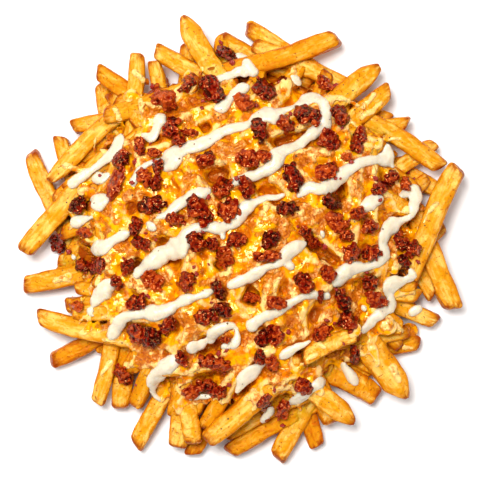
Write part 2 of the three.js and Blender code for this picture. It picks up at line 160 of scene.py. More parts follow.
# The fries that show round the rim, clockwise from the left, and a few in the gaps under them:
# tip x, tip y, root x, root y, layer, width
RIM_GROWTH = 1.05
RIM_TONE = 0.12
RIM_FRIES = [
    (-116, 47, -95, 3, 0, 10), (-100, 56, -87, 24, 0, 9), (-105, 31, -67, 66, 2, 10),
    (-93, 61, -56, 67, 1, 9), (-77, 85, -73, 43, 0, 9), (-79, 92, -42, 66, 1, 10),
    (-57, 101, -60, 62, 2, 9), (-75, 67, -38, 79, 3, 10), (-48, 97, -42, 59, 1, 9),
    (-47, 103, -14, 80, 2, 10), (-32, 122, -9, 85, 3, 12), (-30, 107, -34, 70, 0, 9),
    (-11, 111, 24, 92, 1, 9), (3, 116, 41, 92, 1, 10), (53, 110, -2, 94, 3, 11),
    (62, 82, 21, 100, 1, 10), (76, 94, 41, 69, 3, 12), (81, 81, 48, 57, 2, 11),
    (82, 65, 52, 77, 0, 9), (92, 63, 57, 63, 1, 9), (110, 39, 74, 61, 2, 10),
    (106, 52, 79, 35, 1, 9), (109, 26, 76, 40, 0, 10), (119, 39, 99, -7, 3, 12),
    (112, 7, 85, -13, 0, 9), (117, -39, 101, 4, 2, 12), (106, -32, 90, 2, 1, 9),
    (108, -46, 72, -35, 1, 9), (98, -58, 57, -63, 0, 10), (91, -88, 62, -52, 2, 16),
    (75, -88, 44, -73, 1, 13), (62, -101, 30, -78, 2, 12), (50, -102, 38, -70, 1, 11),
    (42, -115, 32, -81, 0, 10), (20, -122, 41, -81, 1, 11), (-7, -118, 32, -97, 1, 10),
    (-19, -111, 20, -75, 3, 12), (-10, -109, 30, -90, 2, 9), (-35, -115, -34, -88, 2, 12),
    (-26, -113, -30, -88, 2, 11), (-27, -119, -12, -89, 0, 10), (-58, -115, -38, -76, 1, 10),
    (-67, -94, -59, -53, 1, 11), (-79, -91, -71, -48, 2, 9.5), (-105, -68, -64, -46, 0, 10),
    (-112, -43, -65, -53, 2, 11), (-97, -37, -58, -35, 0, 10), (-120, -26, -75, -14, 1, 11),
    (-119, -8, -82, 36, 2, 11), (-101, -13, -64, -4, 0, 9),
    (97, -32, 66, -24, 2, 10), (-96, 38, -62, 60, 0, 9), (-103, 20, -76, 38, 0, 9),
    (-72, 80, -50, 60, 0, 9), (82, -74, 54, -60, 0, 9),
]

# How wide the tips of some rim fries are, as a share, and how brown some of them are
POINTED_FRIES = {10: 0.35, 16: 0.4, 29: 0.25, 31: 0.4, 2: 0.6}
BROWN_FRIES = {5: 0.5, 14: 0.45, 33: 0.8, 35: 0.6, 40: 0.9, 44: 0.8, 28: 0.35, 30: 0.4, 47: 0.2}

# The bare fry on top, and fries that stand out under the cheese: from x, y, to x, y
TOP_FRY = (34, -66, 63, -52)
COATED_FRIES = [
    (-36, 60, -10, 70), (-31, 45, -26, 18), (16, 20, 7, -10), (74, 25, 93, 14),
    (28, 10, 46, 20), (-38, -62, -20, -42), (18, -84, 29, -62), (-78, 20, -60, 4),
    (-60, 62, -44, 74), (70, -42, 87, -49),
]

# The mound's outline in plan
CHEESE_LEAN = 4 * MM
CHEESE_LEAN_TURN = 0.3
CHEESE_WAVES = [(2.4 * MM, 7, 0), (1.8 * MM, 11, 1)]

# The cheese that is draped over the fries
FIELD_REACH = 112 * MM
FIELD_CELL = 1.0 * MM
FIELD_CORNER = 12 * MM
RAY_HEIGHT = 0.2
CLOSE_CELLS = 2
CHEESE_LIFT = 0.35 * MM
CHEESE_THIN = 0.5 * MM
CHEESE_FULL = 2.3 * MM
CHEESE_SOLID = 2.6 * MM
CHEESE_VOXEL = 1.15 * MM
CHEESE_GRAIN = 0.4 * MM
CHEESE_SWELL = 0.5 * MM
FRAY = 9 * MM

# Melted shreds all over, tongues that run over the rim, and beads, in millimetres
SHRED_COUNT = 330
SHRED_REACH = 92
SHRED_WIDTHS = (1.8, 3.8)
SHRED_STEP = 4.5
SHRED_BEND = 0.6
TONGUE_COUNT = 34
TONGUE_WIDTHS = (3.5, 6.5)
TONGUE_TAPER = (1.2, 1.0, 0.8, 0.75)
TONGUE_STEPS = (3.5, 6)
TONGUE_INSET = 10
TONGUE_BEND = 0.08
BEAD_COUNT = 46
BEAD_REACH = 90
BEAD_RADII = (2, 4.2)
BEAD_FLATNESS = 0.62

# Rounded glossy lumps of cheese: x, y, radius
CHEESE_LUMPS = [(79, -48, 6), (93, -52, 6), (61, -50, 4), (-60, 76, 5)]

# Drips of cheese that run out past the fries: from x, y, to x, y, width
CHEESE_DRIPS = [
    (-30, -84, -35, -97, 5), (82, -68, 87, -80, 5), (88, -60, 96, -62, 5), (-84, 36, -98, 40, 5),
    (-50, 84, -60, 92, 5), (66, 70, 74, 80, 4), (102, 14, 108, 20, 4), (-92, -20, -104, -24, 5),
    (8, -88, 6, -100, 4), (-70, -66, -78, -76, 4),
]

# Drizzle strands, each a row of x, y and width in the photograph's pixels. The photograph's
# middle is under the camera. A pixel is 0.55 mm on the table, and less by the nearness up on
# the heap, closer to the camera. The last value is a strand's width in millimetres a pixel.
PHOTO_MIDDLE = 240
PIXEL = 0.55
STRAND_NEARNESS = 0.972
STRAND_GROWTH = 0.55
DRIZZLE = [
    [(212, 78, 6), (221, 75, 9), (231, 72, 10), (240, 68, 10), (247, 74, 6)],
    [(234, 50, 7), (243, 53, 11), (248, 62, 12), (254, 70, 11), (256, 74, 6)],
    [(291, 71, 4), (297, 76, 8), (302, 83, 6)],
    [(164, 113, 6), (160, 117, 12), (156, 126, 9), (151, 136, 11), (144, 134, 8), (139, 133, 4)],
    [(251, 84, 7), (243, 86, 12), (234, 92, 10), (228, 99, 9), (222, 105, 12), (213, 107, 8)],
    [(131, 187, 5), (133, 180, 9), (138, 170, 8), (146, 164, 6), (156, 160, 7), (166, 163, 18),
     (173, 156, 20), (180, 150, 15), (190, 146, 11), (200, 144, 14), (211, 138, 13),
     (222, 131, 12), (233, 127, 10), (246, 124, 9), (256, 118, 12), (265, 113, 14),
     (275, 113, 15), (286, 108, 8), (296, 105, 7), (306, 98, 11), (315, 95, 13), (323, 99, 14),
     (327, 110, 13), (327, 121, 14), (320, 128, 12), (311, 134, 11), (303, 141, 10),
     (295, 146, 9), (286, 149, 11), (278, 155, 14), (275, 163, 14), (266, 170, 12),
     (255, 175, 12), (245, 178, 9), (236, 181, 9), (230, 185, 6)],
    [(275, 116, 8), (274, 124, 8)],
    [(390, 141, 6), (391, 149, 10), (390, 157, 14), (380, 158, 12), (369, 160, 11),
     (358, 164, 11), (348, 170, 12), (340, 177, 15), (330, 186, 15), (320, 189, 13),
     (310, 187, 13), (303, 192, 9), (297, 198, 4)],
    [(388, 156, 8), (393, 160, 8), (397, 167, 4)],
    [(286, 194, 4), (276, 197, 7), (265, 198, 9), (255, 202, 11), (246, 208, 14),
     (239, 216, 13), (230, 224, 13), (220, 228, 13), (209, 227, 12), (198, 228, 11),
     (188, 233, 13), (182, 243, 19), (174, 250, 23), (163, 254, 21), (154, 261, 15),
     (145, 266, 13), (138, 272, 11), (132, 279, 7)],
    [(222, 230, 8), (224, 240, 7)],
    [(212, 189, 6), (204, 192, 12), (194, 196, 13), (184, 201, 13), (175, 207, 12),
     (168, 213, 8), (160, 216, 7), (154, 219, 4)],
    [(145, 221, 6), (150, 226, 9), (155, 231, 6)],
    [(119, 131, 8), (117, 139, 12), (113, 149, 12), (104, 157, 10), (96, 163, 8), (88, 169, 7),
     (79, 175, 9), (70, 181, 12), (65, 186, 11)],
    [(108, 172, 6), (101, 176, 11), (94, 178, 11), (88, 180, 6)],
    [(109, 196, 8), (101, 199, 14), (93, 204, 17), (88, 207, 10)],
    [(92, 216, 4), (84, 218, 7), (73, 222, 12), (67, 226, 9)],
    [(129, 232, 8), (120, 236, 11), (111, 241, 8), (103, 246, 14), (95, 249, 16), (87, 249, 11)],
    [(114, 281, 10), (107, 286, 16), (99, 294, 17), (92, 302, 16), (86, 305, 9)],
    [(88, 308, 8), (87, 315, 7), (92, 318, 4)],
    [(215, 290, 5), (205, 294, 9), (196, 298, 6), (186, 300, 12), (176, 305, 11),
     (166, 311, 16), (154, 314, 17), (142, 314, 12), (132, 316, 10), (122, 319, 13),
     (115, 328, 13), (110, 337, 12), (108, 343, 8)],
    [(236, 326, 5), (227, 327, 9), (217, 331, 11), (211, 338, 13), (211, 346, 9)],
    [(236, 327, 4), (237, 337, 6), (234, 345, 11), (227, 347, 9), (220, 349, 4)],
    [(205, 340, 8), (200, 346, 13), (193, 348, 15), (188, 355, 9)],
    [(181, 358, 8), (174, 362, 14), (165, 369, 15), (157, 377, 14), (151, 384, 13),
     (150, 392, 8), (153, 400, 6), (159, 406, 5)],
    [(186, 403, 6), (193, 400, 9), (202, 400, 6), (211, 400, 4)],
    [(326, 233, 9), (320, 235, 9)],
    [(307, 242, 5), (299, 246, 12), (289, 252, 15), (283, 259, 12), (276, 265, 9),
     (266, 268, 8), (257, 273, 13), (247, 279, 14), (236, 283, 11), (226, 287, 9)],
    [(284, 260, 10), (290, 266, 10), (295, 268, 6)],
    [(402, 197, 6), (410, 192, 9), (417, 189, 12), (420, 197, 13), (417, 207, 11),
     (415, 215, 7), (406, 220, 8), (397, 224, 15), (389, 232, 14), (385, 243, 12),
     (386, 253, 14), (379, 263, 11), (368, 267, 9), (357, 268, 13), (347, 272, 19),
     (340, 280, 16), (334, 287, 9)],
    [(332, 296, 10), (322, 297, 9), (312, 295, 9), (302, 298, 8), (293, 302, 10),
     (284, 308, 11), (274, 314, 12), (263, 318, 12), (254, 324, 13), (247, 331, 9)],
    [(66, 258, 6), (72, 257, 9)],
    [(386, 196, 5), (377, 200, 12), (368, 206, 14), (361, 212, 9)],
    [(412, 268, 4), (416, 276, 11), (408, 281, 9), (398, 284, 16), (391, 290, 13),
     (394, 299, 9), (394, 308, 12), (385, 314, 13), (376, 320, 11), (370, 328, 11),
     (362, 335, 6)],
    [(369, 307, 8), (363, 311, 9)],
    [(312, 342, 4), (303, 346, 7), (294, 350, 9), (285, 356, 10), (280, 360, 6)],
    [(266, 362, 5), (260, 368, 7), (252, 374, 13), (244, 380, 14), (240, 388, 9), (236, 396, 5)],
    [(328, 382, 8), (321, 386, 13), (312, 392, 9), (304, 399, 12), (296, 404, 11), (289, 408, 5)],
    [(274, 410, 6), (270, 416, 10), (265, 423, 9), (261, 428, 5)],
    [(344, 365, 7), (350, 374, 9), (356, 382, 11), (361, 390, 9)],
    [(427, 308, 7), (420, 313, 12), (413, 316, 8)],
]
DRIZZLE_RISE = 0.85
DRIZZLE_LIFT = 0.3 * MM
DRIZZLE_VOXEL = 0.75 * MM
DRIZZLE_SWELL = 0.55 * MM
DRIZZLE_RIPPLE = 0.2 * MM
DRIZZLE_EDGE = 1.1 * MM
STRAND_STEP = 0.4 * MM
STRAND_SWELLS = 0.3

# Bacon crumbles: x, y, length, width, heading in degrees, and shade from dark, 0, to pale, 3
BACON = [
    (-42, 76, 21, 12, -45, 1), (-29, 84, 13, 9, 45, 0), (-16, 81, 19, 12, -50, 1),
    (-8, 101, 14, 8, -20, 1), (1, 74, 13, 10, -60, 2), (13, 81, 15, 12, -40, 1),
    (22, 87, 6, 4, 20, 1), (36, 67, 16, 12, -15, 1), (24, 62, 13, 9, -70, 1),
    (10, 58, 14, 10, -80, 0), (54, 67, 13, 10, -45, 0), (48, 53, 14, 12, -30, 0),
    (64, 54, 18, 9, 65, 0), (57, 44, 7, 5, 0, 3), (46, 84, 12, 8, -40, 2),
    (-38, 60, 13, 10, 70, 0), (-34, 53, 9, 7, -50, 2), (-28, 57, 10, 5, -10, 1),
    (-55, 50, 12, 7, -75, 1), (-47, 46, 8, 6, 0, 1), (-65, 43, 13, 10, 45, 0),
    (-68, 29, 19, 9, 70, 1), (-45, 38, 10, 7, 80, 1), (-52, 33, 11, 9, -45, 3),
    (-46, 29, 10, 7, 60, 0), (-48, 18, 16, 11, 5, 1), (-19, 42, 12, 9, 40, 0),
    (3, 43, 14, 11, 0, 1), (12, 44, 10, 8, -20, 1), (-10, 27, 13, 11, 60, 2),
    (3, 28, 14, 10, -70, 1), (-22, 15, 19, 12, -50, 0), (-7, 15, 15, 13, 10, 1),
    (-35, 10, 11, 8, -20, 1), (-24, -2, 13, 10, -50, 1), (-16, -3, 9, 8, 0, 1),
    (-2, -1, 12, 10, -20, 0), (-9, -10, 13, 10, -70, 1), (15, -1, 13, 10, 50, 0),
    (14, -10, 16, 7, 5, 1), (28, 32, 20, 10, -80, 0), (25, 16, 12, 9, 0, 0),
    (46, 36, 15, 10, 30, 1), (49, 20, 12, 10, 0, 0), (51, 9, 15, 11, -60, 2),
    (63, 13, 10, 8, 20, 1), (69, 6, 11, 9, 30, 2), (57, 1, 9, 7, 0, 2),
    (60, -8, 12, 11, 0, 0), (71, -8, 11, 10, 0, 1), (82, 33, 10, 8, 60, 1),
    (75, 27, 11, 8, 30, 0), (90, 30, 9, 7, 70, 2), (35, 3, 9, 7, -40, 1),
    (40, -3, 9, 7, -20, 0), (87, -2, 11, 9, -60, 0), (94, -6, 11, 10, 0, 1),
    (89, -13, 9, 7, -60, 0), (34, -24, 14, 10, -45, 1), (47, -19, 11, 9, -50, 1),
    (43, -32, 9, 4, 80, 1), (70, -24, 10, 9, 0, 0), (74, -34, 15, 10, -20, 1),
    (55, -34, 13, 9, -60, 0), (58, -45, 14, 11, -60, 1), (44, -51, 12, 9, 30, 1),
    (62, -64, 13, 6, -80, 0), (19, -35, 13, 8, -10, 2), (6, -32, 10, 6, -20, 3),
    (-12, -28, 13, 7, -65, 0), (-10, -38, 12, 9, -30, 0), (-19, -42, 13, 10, 20, 1),
    (-29, -23, 13, 10, 40, 1), (-40, -48, 12, 9, 40, 0), (-57, -52, 13, 10, -50, 1),
    (-49, -54, 13, 13, 0, 0), (-57, -35, 13, 10, 0, 0), (-48, -23, 14, 11, -30, 2),
    (-62, -16, 11, 8, 70, 1), (-67, -24, 9, 7, -50, 1), (-87, -15, 11, 8, -45, 1),
    (-79, -15, 11, 11, 0, 0), (-101, -3, 12, 10, -60, 1), (-89, 18, 12, 9, 60, 0),
    (-57, 6, 12, 8, 60, 1), (-54, -3, 12, 8, -20, 0), (-32, -66, 11, 7, -60, 1),
    (-18, -67, 11, 9, 0, 0), (-11, -69, 12, 10, -50, 1), (-9, -55, 7, 5, 0, 2),
    (12, -54, 11, 9, 70, 0), (18, -52, 13, 11, -50, 0), (10, -64, 10, 7, 70, 0),
    (17, -68, 10, 8, -70, 1), (-26, -84, 13, 9, 20, 1), (-19, -81, 12, 9, 0, 1),
    (-12, -84, 11, 9, -40, 2), (-65, -75, 13, 9, -60, 1), (-90, -37, 9, 7, 0, 2),
    (34, -81, 12, 10, -30, 1), (13, -89, 12, 8, 45, 0), (23, -94, 13, 8, 80, 3),
    (-86, 3, 10, 7, 0, 3),
]
CRUMBLE_MASTERS = 8
CRUMBLE_LENGTH = 14 * MM
CRUMBLE_WIDTH = 10 * MM
CRUMBLE_HEIGHT = 8 * MM
CRUMBLE_LUMPS = 44
LUMP_RADII = (0.9, 2.1)
SHARD_SIZE = 1.6
CRUMBLE_VOXEL = 0.45 * MM
CRUMBLE_ROUGH = 0.5 * MM
CRUMBLE_FINE = 0.25 * MM
CRUMBLE_TRIANGLES = 2600
CRUMBLE_SEAT = 1.8 * MM
CRUMBLE_GROWTH = 1.14

# Small bits that lie on everything
BIT_COUNT = 75
BIT_SIZES = (0.9 * MM, 2.4 * MM)
BIT_TRIANGLES = 260
BIT_SEED = 30
SPECK_COUNT = 160
SPECK_SIZES = (0.25 * MM, 0.55 * MM)
BITS_REACH = 106 * MM
BITS_LOWEST = 8 * MM

# A white table, one large soft light, a ring of small ones for glints, and a pale sky
TABLE_SIZE = 6
KEY_LIGHT = {"place": (-0.36, 0.44, 1.72), "size": 0.7, "power": 42, "colour": (1.0, 0.99, 0.97)}
RING_LIGHTS = 6
RING_HEIGHT = 1.1
RING_LIGHT = {"size": 0.14, "power": 1.1, "colour": (1.0, 0.98, 0.96)}
LIGHTS_FACE = (0, 0, 0.02)
SKY_AT_HORIZON = 0.85
SKY_OVERHEAD = 0.1

# The camera looks straight down from high above, at this place in millimetres
CAMERA_LENS = 200
CAMERA_HEIGHT = 1.477
CAMERA_OVER = (-0.55, -1.1)


def user_length(name, description, default, low=0.0, high=1.0):
    """A length that a user can change."""
    return FloatProperty(name=name, description=description, default=default, min=low, max=high,
                         unit="LENGTH", subtype="DISTANCE")


def user_colour(name, description, *default):
    """A colour that a user can change."""
    return FloatVectorProperty(name=name, description=description, default=default,
                               subtype="COLOR", min=0, max=1)


class HeapSizes(bpy.types.PropertyGroup):
    """Sizes of the heap and of what lies on it."""

    fry_width: user_length("Fry width", "Width of a fry", 9.5 * MM, 6 * MM, 14 * MM)
    fry_height: user_length("Fry height", "Height of a fry", 9.0 * MM, 6 * MM, 14 * MM)
    pile_height: user_length("Mound height", "Height of the mound of fries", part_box("fries")[1].z)
    pile_span: user_length("Mound span", "Radius at which the mound's curve meets the table", 122 * MM)
    cheese_radius: user_length("Cheese radius", "Mean radius of the cheese's outline", 93 * MM)


class HeapColours(bpy.types.PropertyGroup):
    """Colours of the heap and of what lies on it."""

    # The fries' pale is partly painted highlight, and the gold and amber of their sides partly painted
    # shade.
    fry_pale_and_highlight: user_colour("Fry, pale", "A fry's upper face", 0.82, 0.52, 0.12)
    fry_gold: user_colour("Fry, gold", "A fry's sides", 0.72, 0.29, 0.003)
    fry_amber_and_shade: user_colour("Fry, amber", "A fry's lower sides and edges", 0.60, 0.14, 0.001)
    fry_brown: user_colour("Fry, brown", "A fry's crisp ends", 0.30, 0.045, 0.001)
    cheese_bright: user_colour("Cheese, bright", "Glossy melted cheese", 0.95, 0.39, 0.001)
    cheese_deep: user_colour("Cheese, deep", "Thick melted cheese", 0.70, 0.155, 0.001)
    cheese_baked: user_colour("Cheese, baked", "Baked cheese", 0.62, 0.16, 0.001)
    # The browned cheese colour serves both the baked spots and painted shade in the creases.
    cheese_brown_and_shade: user_colour("Cheese, browned", "The brown spots of baked cheese", 0.38, 0.055, 0.001)
    # The pale cheese colour is partly thin cheese and strings, partly painted highlight.
    cheese_pale_and_highlight: user_colour("Cheese, pale", "Pale streaks of cheese", 0.96, 0.60, 0.20)
    drizzle: user_colour("Drizzle", "The thick sauce", 0.71, 0.63, 0.49)
    # The dark bacon colour serves both dark crisp bacon and painted shade in hollows and low places.
    bacon_dark_and_shade: user_colour("Bacon, dark", "Dark crisp bacon", 0.030, 0.001, 0.001)
    bacon_red: user_colour("Bacon, red", "Red lean bacon", 0.19, 0.004, 0.001)
    bacon_pale: user_colour("Bacon, pale", "Pale bacon fat", 0.46, 0.06, 0.006)


def scatter(item, kind):
    """A repeatable value from -1 to 1 for an item and a kind."""
    wave = math.sin(item * 12.9898 + kind * 78.233) * 43758.5453
    return 2 * (wave - math.floor(wave)) - 1


def pile_height(radius, sizes):
    """Height of the mound of fries at a distance from its middle."""
    return sizes.pile_height * (1 - (radius / sizes.pile_span) ** 2)


def share_of(value, full):
    """How much of the full amount a value has reached, from 0 to 1."""
    return np.clip(value / full, 0, 1)


def cheese_reach(angle, sizes):
    """Radius of the cheese's wavy outline in a direction."""
    reach = sizes.cheese_radius + CHEESE_LEAN * np.cos(angle + CHEESE_LEAN_TURN)
    for depth, waves, turn in CHEESE_WAVES:
        reach = reach + depth * np.sin(waves * angle + turn)
    return reach


# Modelling helpers

def start_clean():
    if bpy.context.mode != "OBJECT":
        bpy.ops.object.mode_set(mode="OBJECT")
    bpy.ops.object.select_all(action="DESELECT")


def pick(*pieces):
    """Selects these pieces alone; the first is the active one."""
    start_clean()
    for piece in pieces:
        piece.select_set(True)
    bpy.context.view_layer.objects.active = pieces[0]


def points_of(piece):
    flat = np.empty(3 * len(piece.data.vertices))
    piece.data.vertices.foreach_get("co", flat)
    return flat.reshape(-1, 3)


def set_points(piece, points):
    piece.data.vertices.foreach_set("co", np.ascontiguousarray(points, np.float32).ravel())
    piece.data.update()


def normals_of(piece):
    flat = np.empty(3 * len(piece.data.vertices), np.float32)
    piece.data.vertex_normals.foreach_get("vector", flat)
    return flat.reshape(-1, 3)


def add_values(piece, name, values):
    """A value, or a vector, at each point of a piece, which its material reads."""
    values = np.asarray(values, np.float32)
    kind, field = ("FLOAT", "value") if values.ndim == 1 else ("FLOAT_VECTOR", "vector")
    attribute = piece.data.attributes.get(name) or piece.data.attributes.new(name, kind, "POINT")
    attribute.data.foreach_set(field, values.ravel())


def hollows_of(piece, passes, scale):
    """How hollow the surface is at each point, from -1 on a ridge to 1 in a crevice."""
    mesh = piece.data
    ends = np.empty(2 * len(mesh.edges), int)
    mesh.edges.foreach_get("vertices", ends)
    first, second = ends[::2], ends[1::2]
    count = np.bincount(ends, minlength=len(mesh.vertices))[:, None].clip(1)
    points = points_of(piece)
    eased = points
    for _ in range(passes):
        total = np.zeros_like(eased)
        for axis in range(3):
            total[:, axis] = np.bincount(first, eased[second, axis], len(eased))
            total[:, axis] += np.bincount(second, eased[first, axis], len(eased))
        eased = 0.5 * eased + 0.5 * total / count
    return np.clip(((eased - points) * normals_of(piece)).sum(axis=1) / scale, -1, 1)


def copy_of(master, name):
    piece = master.copy()
    piece.data = master.data.copy()
    piece.name = name
    bpy.context.collection.objects.link(piece)
    return piece


def joined(pieces, name):
    """The pieces as one object, whose place is in its mesh."""
    pick(*pieces)
    if len(pieces) > 1:
        bpy.ops.object.join()
    piece = bpy.context.view_layer.objects.active
    bpy.ops.object.transform_apply(location=True, rotation=True, scale=True)
    piece.name = name
    piece.data.name = name
    return piece


def apply_modifier(piece, kind, **settings):
    pick(piece)
    modifier = piece.modifiers.new(kind.title(), kind)
    for key, value in settings.items():
        setattr(modifier, key, value)
    bpy.ops.object.modifier_apply(modifier=modifier.name)


def remeshed(piece, voxel, smoothing):
    apply_modifier(piece, "REMESH", mode="VOXEL", voxel_size=voxel, use_smooth_shade=True)
    if smoothing:
        apply_modifier(piece, "SMOOTH", factor=0.5, iterations=smoothing)


def finished(piece, material, slot, *nodes):
    """Gives a piece its material and body, and hides the solids that it stands for. The slot is not
    used.
    """
    points = points_of(piece)
    points[:, 2] = np.maximum(points[:, 2], TABLE_GAP)
    set_points(piece, points)
    piece.data.materials.clear()
    piece.data.materials.append(material)
    pick(piece)
    bpy.ops.object.shade_smooth()
    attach(piece, BODY)
    if nodes:
        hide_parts(*nodes)


def remove(pieces):
    for piece in pieces:
        bpy.data.objects.remove(piece)


def ripple(points, scale, seed):
    """Smooth noise from about -1 to 1 at each point."""
    shift = Vector((7.3 * seed, 3.1 * seed, 5.7 * seed))
    return np.array([noise.noise(Vector(point) * scale + shift) for point in points])


# Fries

class Fry:
    """The line of one fry from tip to root, and how it looks."""

    def __init__(self, start, end, width, index, tone=0.0, point=1.0):
        """The tone goes from 0, pale, to 1, amber, and the point is the tip's share of width."""
        self.start = Vector(start)
        self.end = Vector(end)
        self.width = width
        self.index = index
        self.tone = tone
        self.point = point
        self.tip_limit = math.inf
        self.root_limit = math.inf
        self.layer = 0


def share_beside(point, fry):
    """Where along a fry's line, seen from above, a point lies beside it."""
    run = (fry.end - fry.start).to_2d()
    share = (point - fry.start).to_2d().dot(run) / run.length_squared
    return min(1.0, max(0.0, share))


def settle(fries, height):
    """Lifts each fry over those already laid, from the lowest layer up."""
    laid = []
    for fry in fries:
        for _ in range(SETTLE_PASSES):
            worst, where = 0.0, 0.0
            for step in range(SETTLE_SAMPLES + 1):
                share = step / SETTLE_SAMPLES
                point = fry.start.lerp(fry.end, share)
                for other in laid:
                    under = other.start.lerp(other.end, share_beside(point, other))
                    reach = 0.5 * (fry.width + other.width) * CROSSING_REACH
                    apart = (point - under).to_2d().length
                    if apart < reach:
                        rise = height * CROSSING_RISE * math.sqrt(1 - (apart / reach) ** 2)
                        if under.z + rise - point.z > worst:
                            worst, where = under.z + rise - point.z, share
            if worst < SETTLED:
                break
            fry.start.z += worst * (1 - where)
            fry.end.z += worst * where
        fry.start.z = min(fry.start.z, fry.tip_limit)
        fry.end.z = min(fry.end.z, fry.root_limit)
        laid.append(fry)


def rim_fries(sizes):
    """The fries of the rim with their heights, tucked in under the heap."""
    fries = []
    for index, (tip_x, tip_y, root_x, root_y, layer, width) in enumerate(RIM_FRIES):
        radius = math.hypot(root_x, root_y) * MM
        root = max(LOWEST_ROOT, pile_height(radius, sizes) - LAYER_DEPTH[layer])
        start = (tip_x * MM, tip_y * MM, LAYER_TIP[layer])
        end = (root_x * MM, root_y * MM, root)
        tone = BROWN_FRIES.get(index, RIM_TONE + RIM_TONE * scatter(index, 30))
        width = width * RIM_GROWTH * MM
        fry = Fry(start, end, width, index, tone, POINTED_FRIES.get(index, 1.0))
        fry.tip_limit = LAYER_TIP[layer] + TIP_LIFT
        fry.root_limit = root + ROOT_LIFT
        fry.layer = layer
        fries.append(fry)
    fries.sort(key=lambda fry: (fry.layer, fry.index))
    settle(fries, sizes.fry_height)
    for fry in fries:
        inward = Vector((*(fry.end - fry.start).to_2d(), 0)).normalized()
        fry.end += FRY_TUCK * inward
    return fries


def fill_fries(sizes):
    """The low fries that close the gaps round the mound."""
    fries = []
    for i in range(FILL_COUNT):
        angle = 2 * math.pi * (i + FILL_STAGGER * scatter(i, 1)) / FILL_COUNT
        heading = angle + FILL_TURN * scatter(i, 2)
        reach = FILL_REACH + FILL_REACH_SPREAD * scatter(i, 3)
        height = FLOOR_AXIS + (sizes.fry_height if i % 2 else 0)
        start = Vector((reach * math.cos(angle), reach * math.sin(angle), height))
        run = Vector((math.cos(heading), math.sin(heading), 0)) * FILL_LENGTH
        end = start - run + Vector((0, 0, FILL_RISE))
        fries.append(Fry(start, end, sizes.fry_width, FILL_INDEX + i, FILL_SHADE_TONE))
    return fries


def flank_fries(sizes):
    """Fries in rings round the mound's flank, which lie between those of the rim."""
    fries = []
    for ring, (count, reach, height) in enumerate(FLANK_RINGS):
        for i in range(count):
            index = FLANK_INDEX + 30 * ring + i
            angle = 2 * math.pi * (i + 0.5 * ring + 0.4 * scatter(index, 1)) / count
            heading = angle + FLANK_TURN * scatter(index, 2)
            out = reach + FLANK_SPREAD * scatter(index, 3)
            start = Vector((out * math.cos(angle), out * math.sin(angle), height))
            run = Vector((math.cos(heading), math.sin(heading), 0)) * FLANK_LENGTH
            fries.append(Fry(start, start - run, sizes.fry_width, index, FLANK_SHADE_TONE))
    return fries


def mound_fry(from_x, from_y, to_x, to_y, lifts, width, index, sizes, tone=0.1):
    """A fry that lies on the mound between two places, in millimetres."""
    start = Vector((from_x * MM, from_y * MM, 0))
    end = Vector((to_x * MM, to_y * MM, 0))
    start.z = pile_height(start.length, sizes) + lifts[0]
    end.z = pile_height(end.length, sizes) + lifts[1]
    return Fry(start, end, width, index, tone)


def pile_fries(sizes):
    """The fries just under the cheese, spread evenly over the mound in every direction."""
    fries = []
    golden_turn = math.pi * (3 - math.sqrt(5))
    for i in range(PILE_COUNT):
        index = PILE_INDEX + i
        radius = PILE_REACH * math.sqrt((i + 0.5) / PILE_COUNT)
        angle = i * golden_turn
        middle = Vector((radius * math.cos(angle), radius * math.sin(angle), 0))
        heading = math.pi * scatter(index, 1)
        half = 0.5 * PILE_LENGTH * (1 + 0.15 * scatter(index, 2))
        run = Vector((math.cos(heading), math.sin(heading), 0)) * half
        slope = pile_height((middle + run).length, sizes) - pile_height((middle - run).length, sizes)
        middle.z = pile_height(radius, sizes) - PILE_SINK + PILE_SPREAD * scatter(index, 3)
        run.z = 0.5 * slope
        fries.append(Fry(middle + run, middle - run, sizes.fry_width, index, PILE_TONE))
    for i, row in enumerate(COATED_FRIES):
        lifts = [CHEESE_FULL - COATED_SINK + 2 * MM] * 2
        fries.append(mound_fry(*row, lifts, sizes.fry_width + MM, COATED_INDEX + i, sizes))
    fries.append(mound_fry(*TOP_FRY, TOP_FRY_LIFT, sizes.fry_width, TOP_INDEX, sizes, 0.05))
    return fries


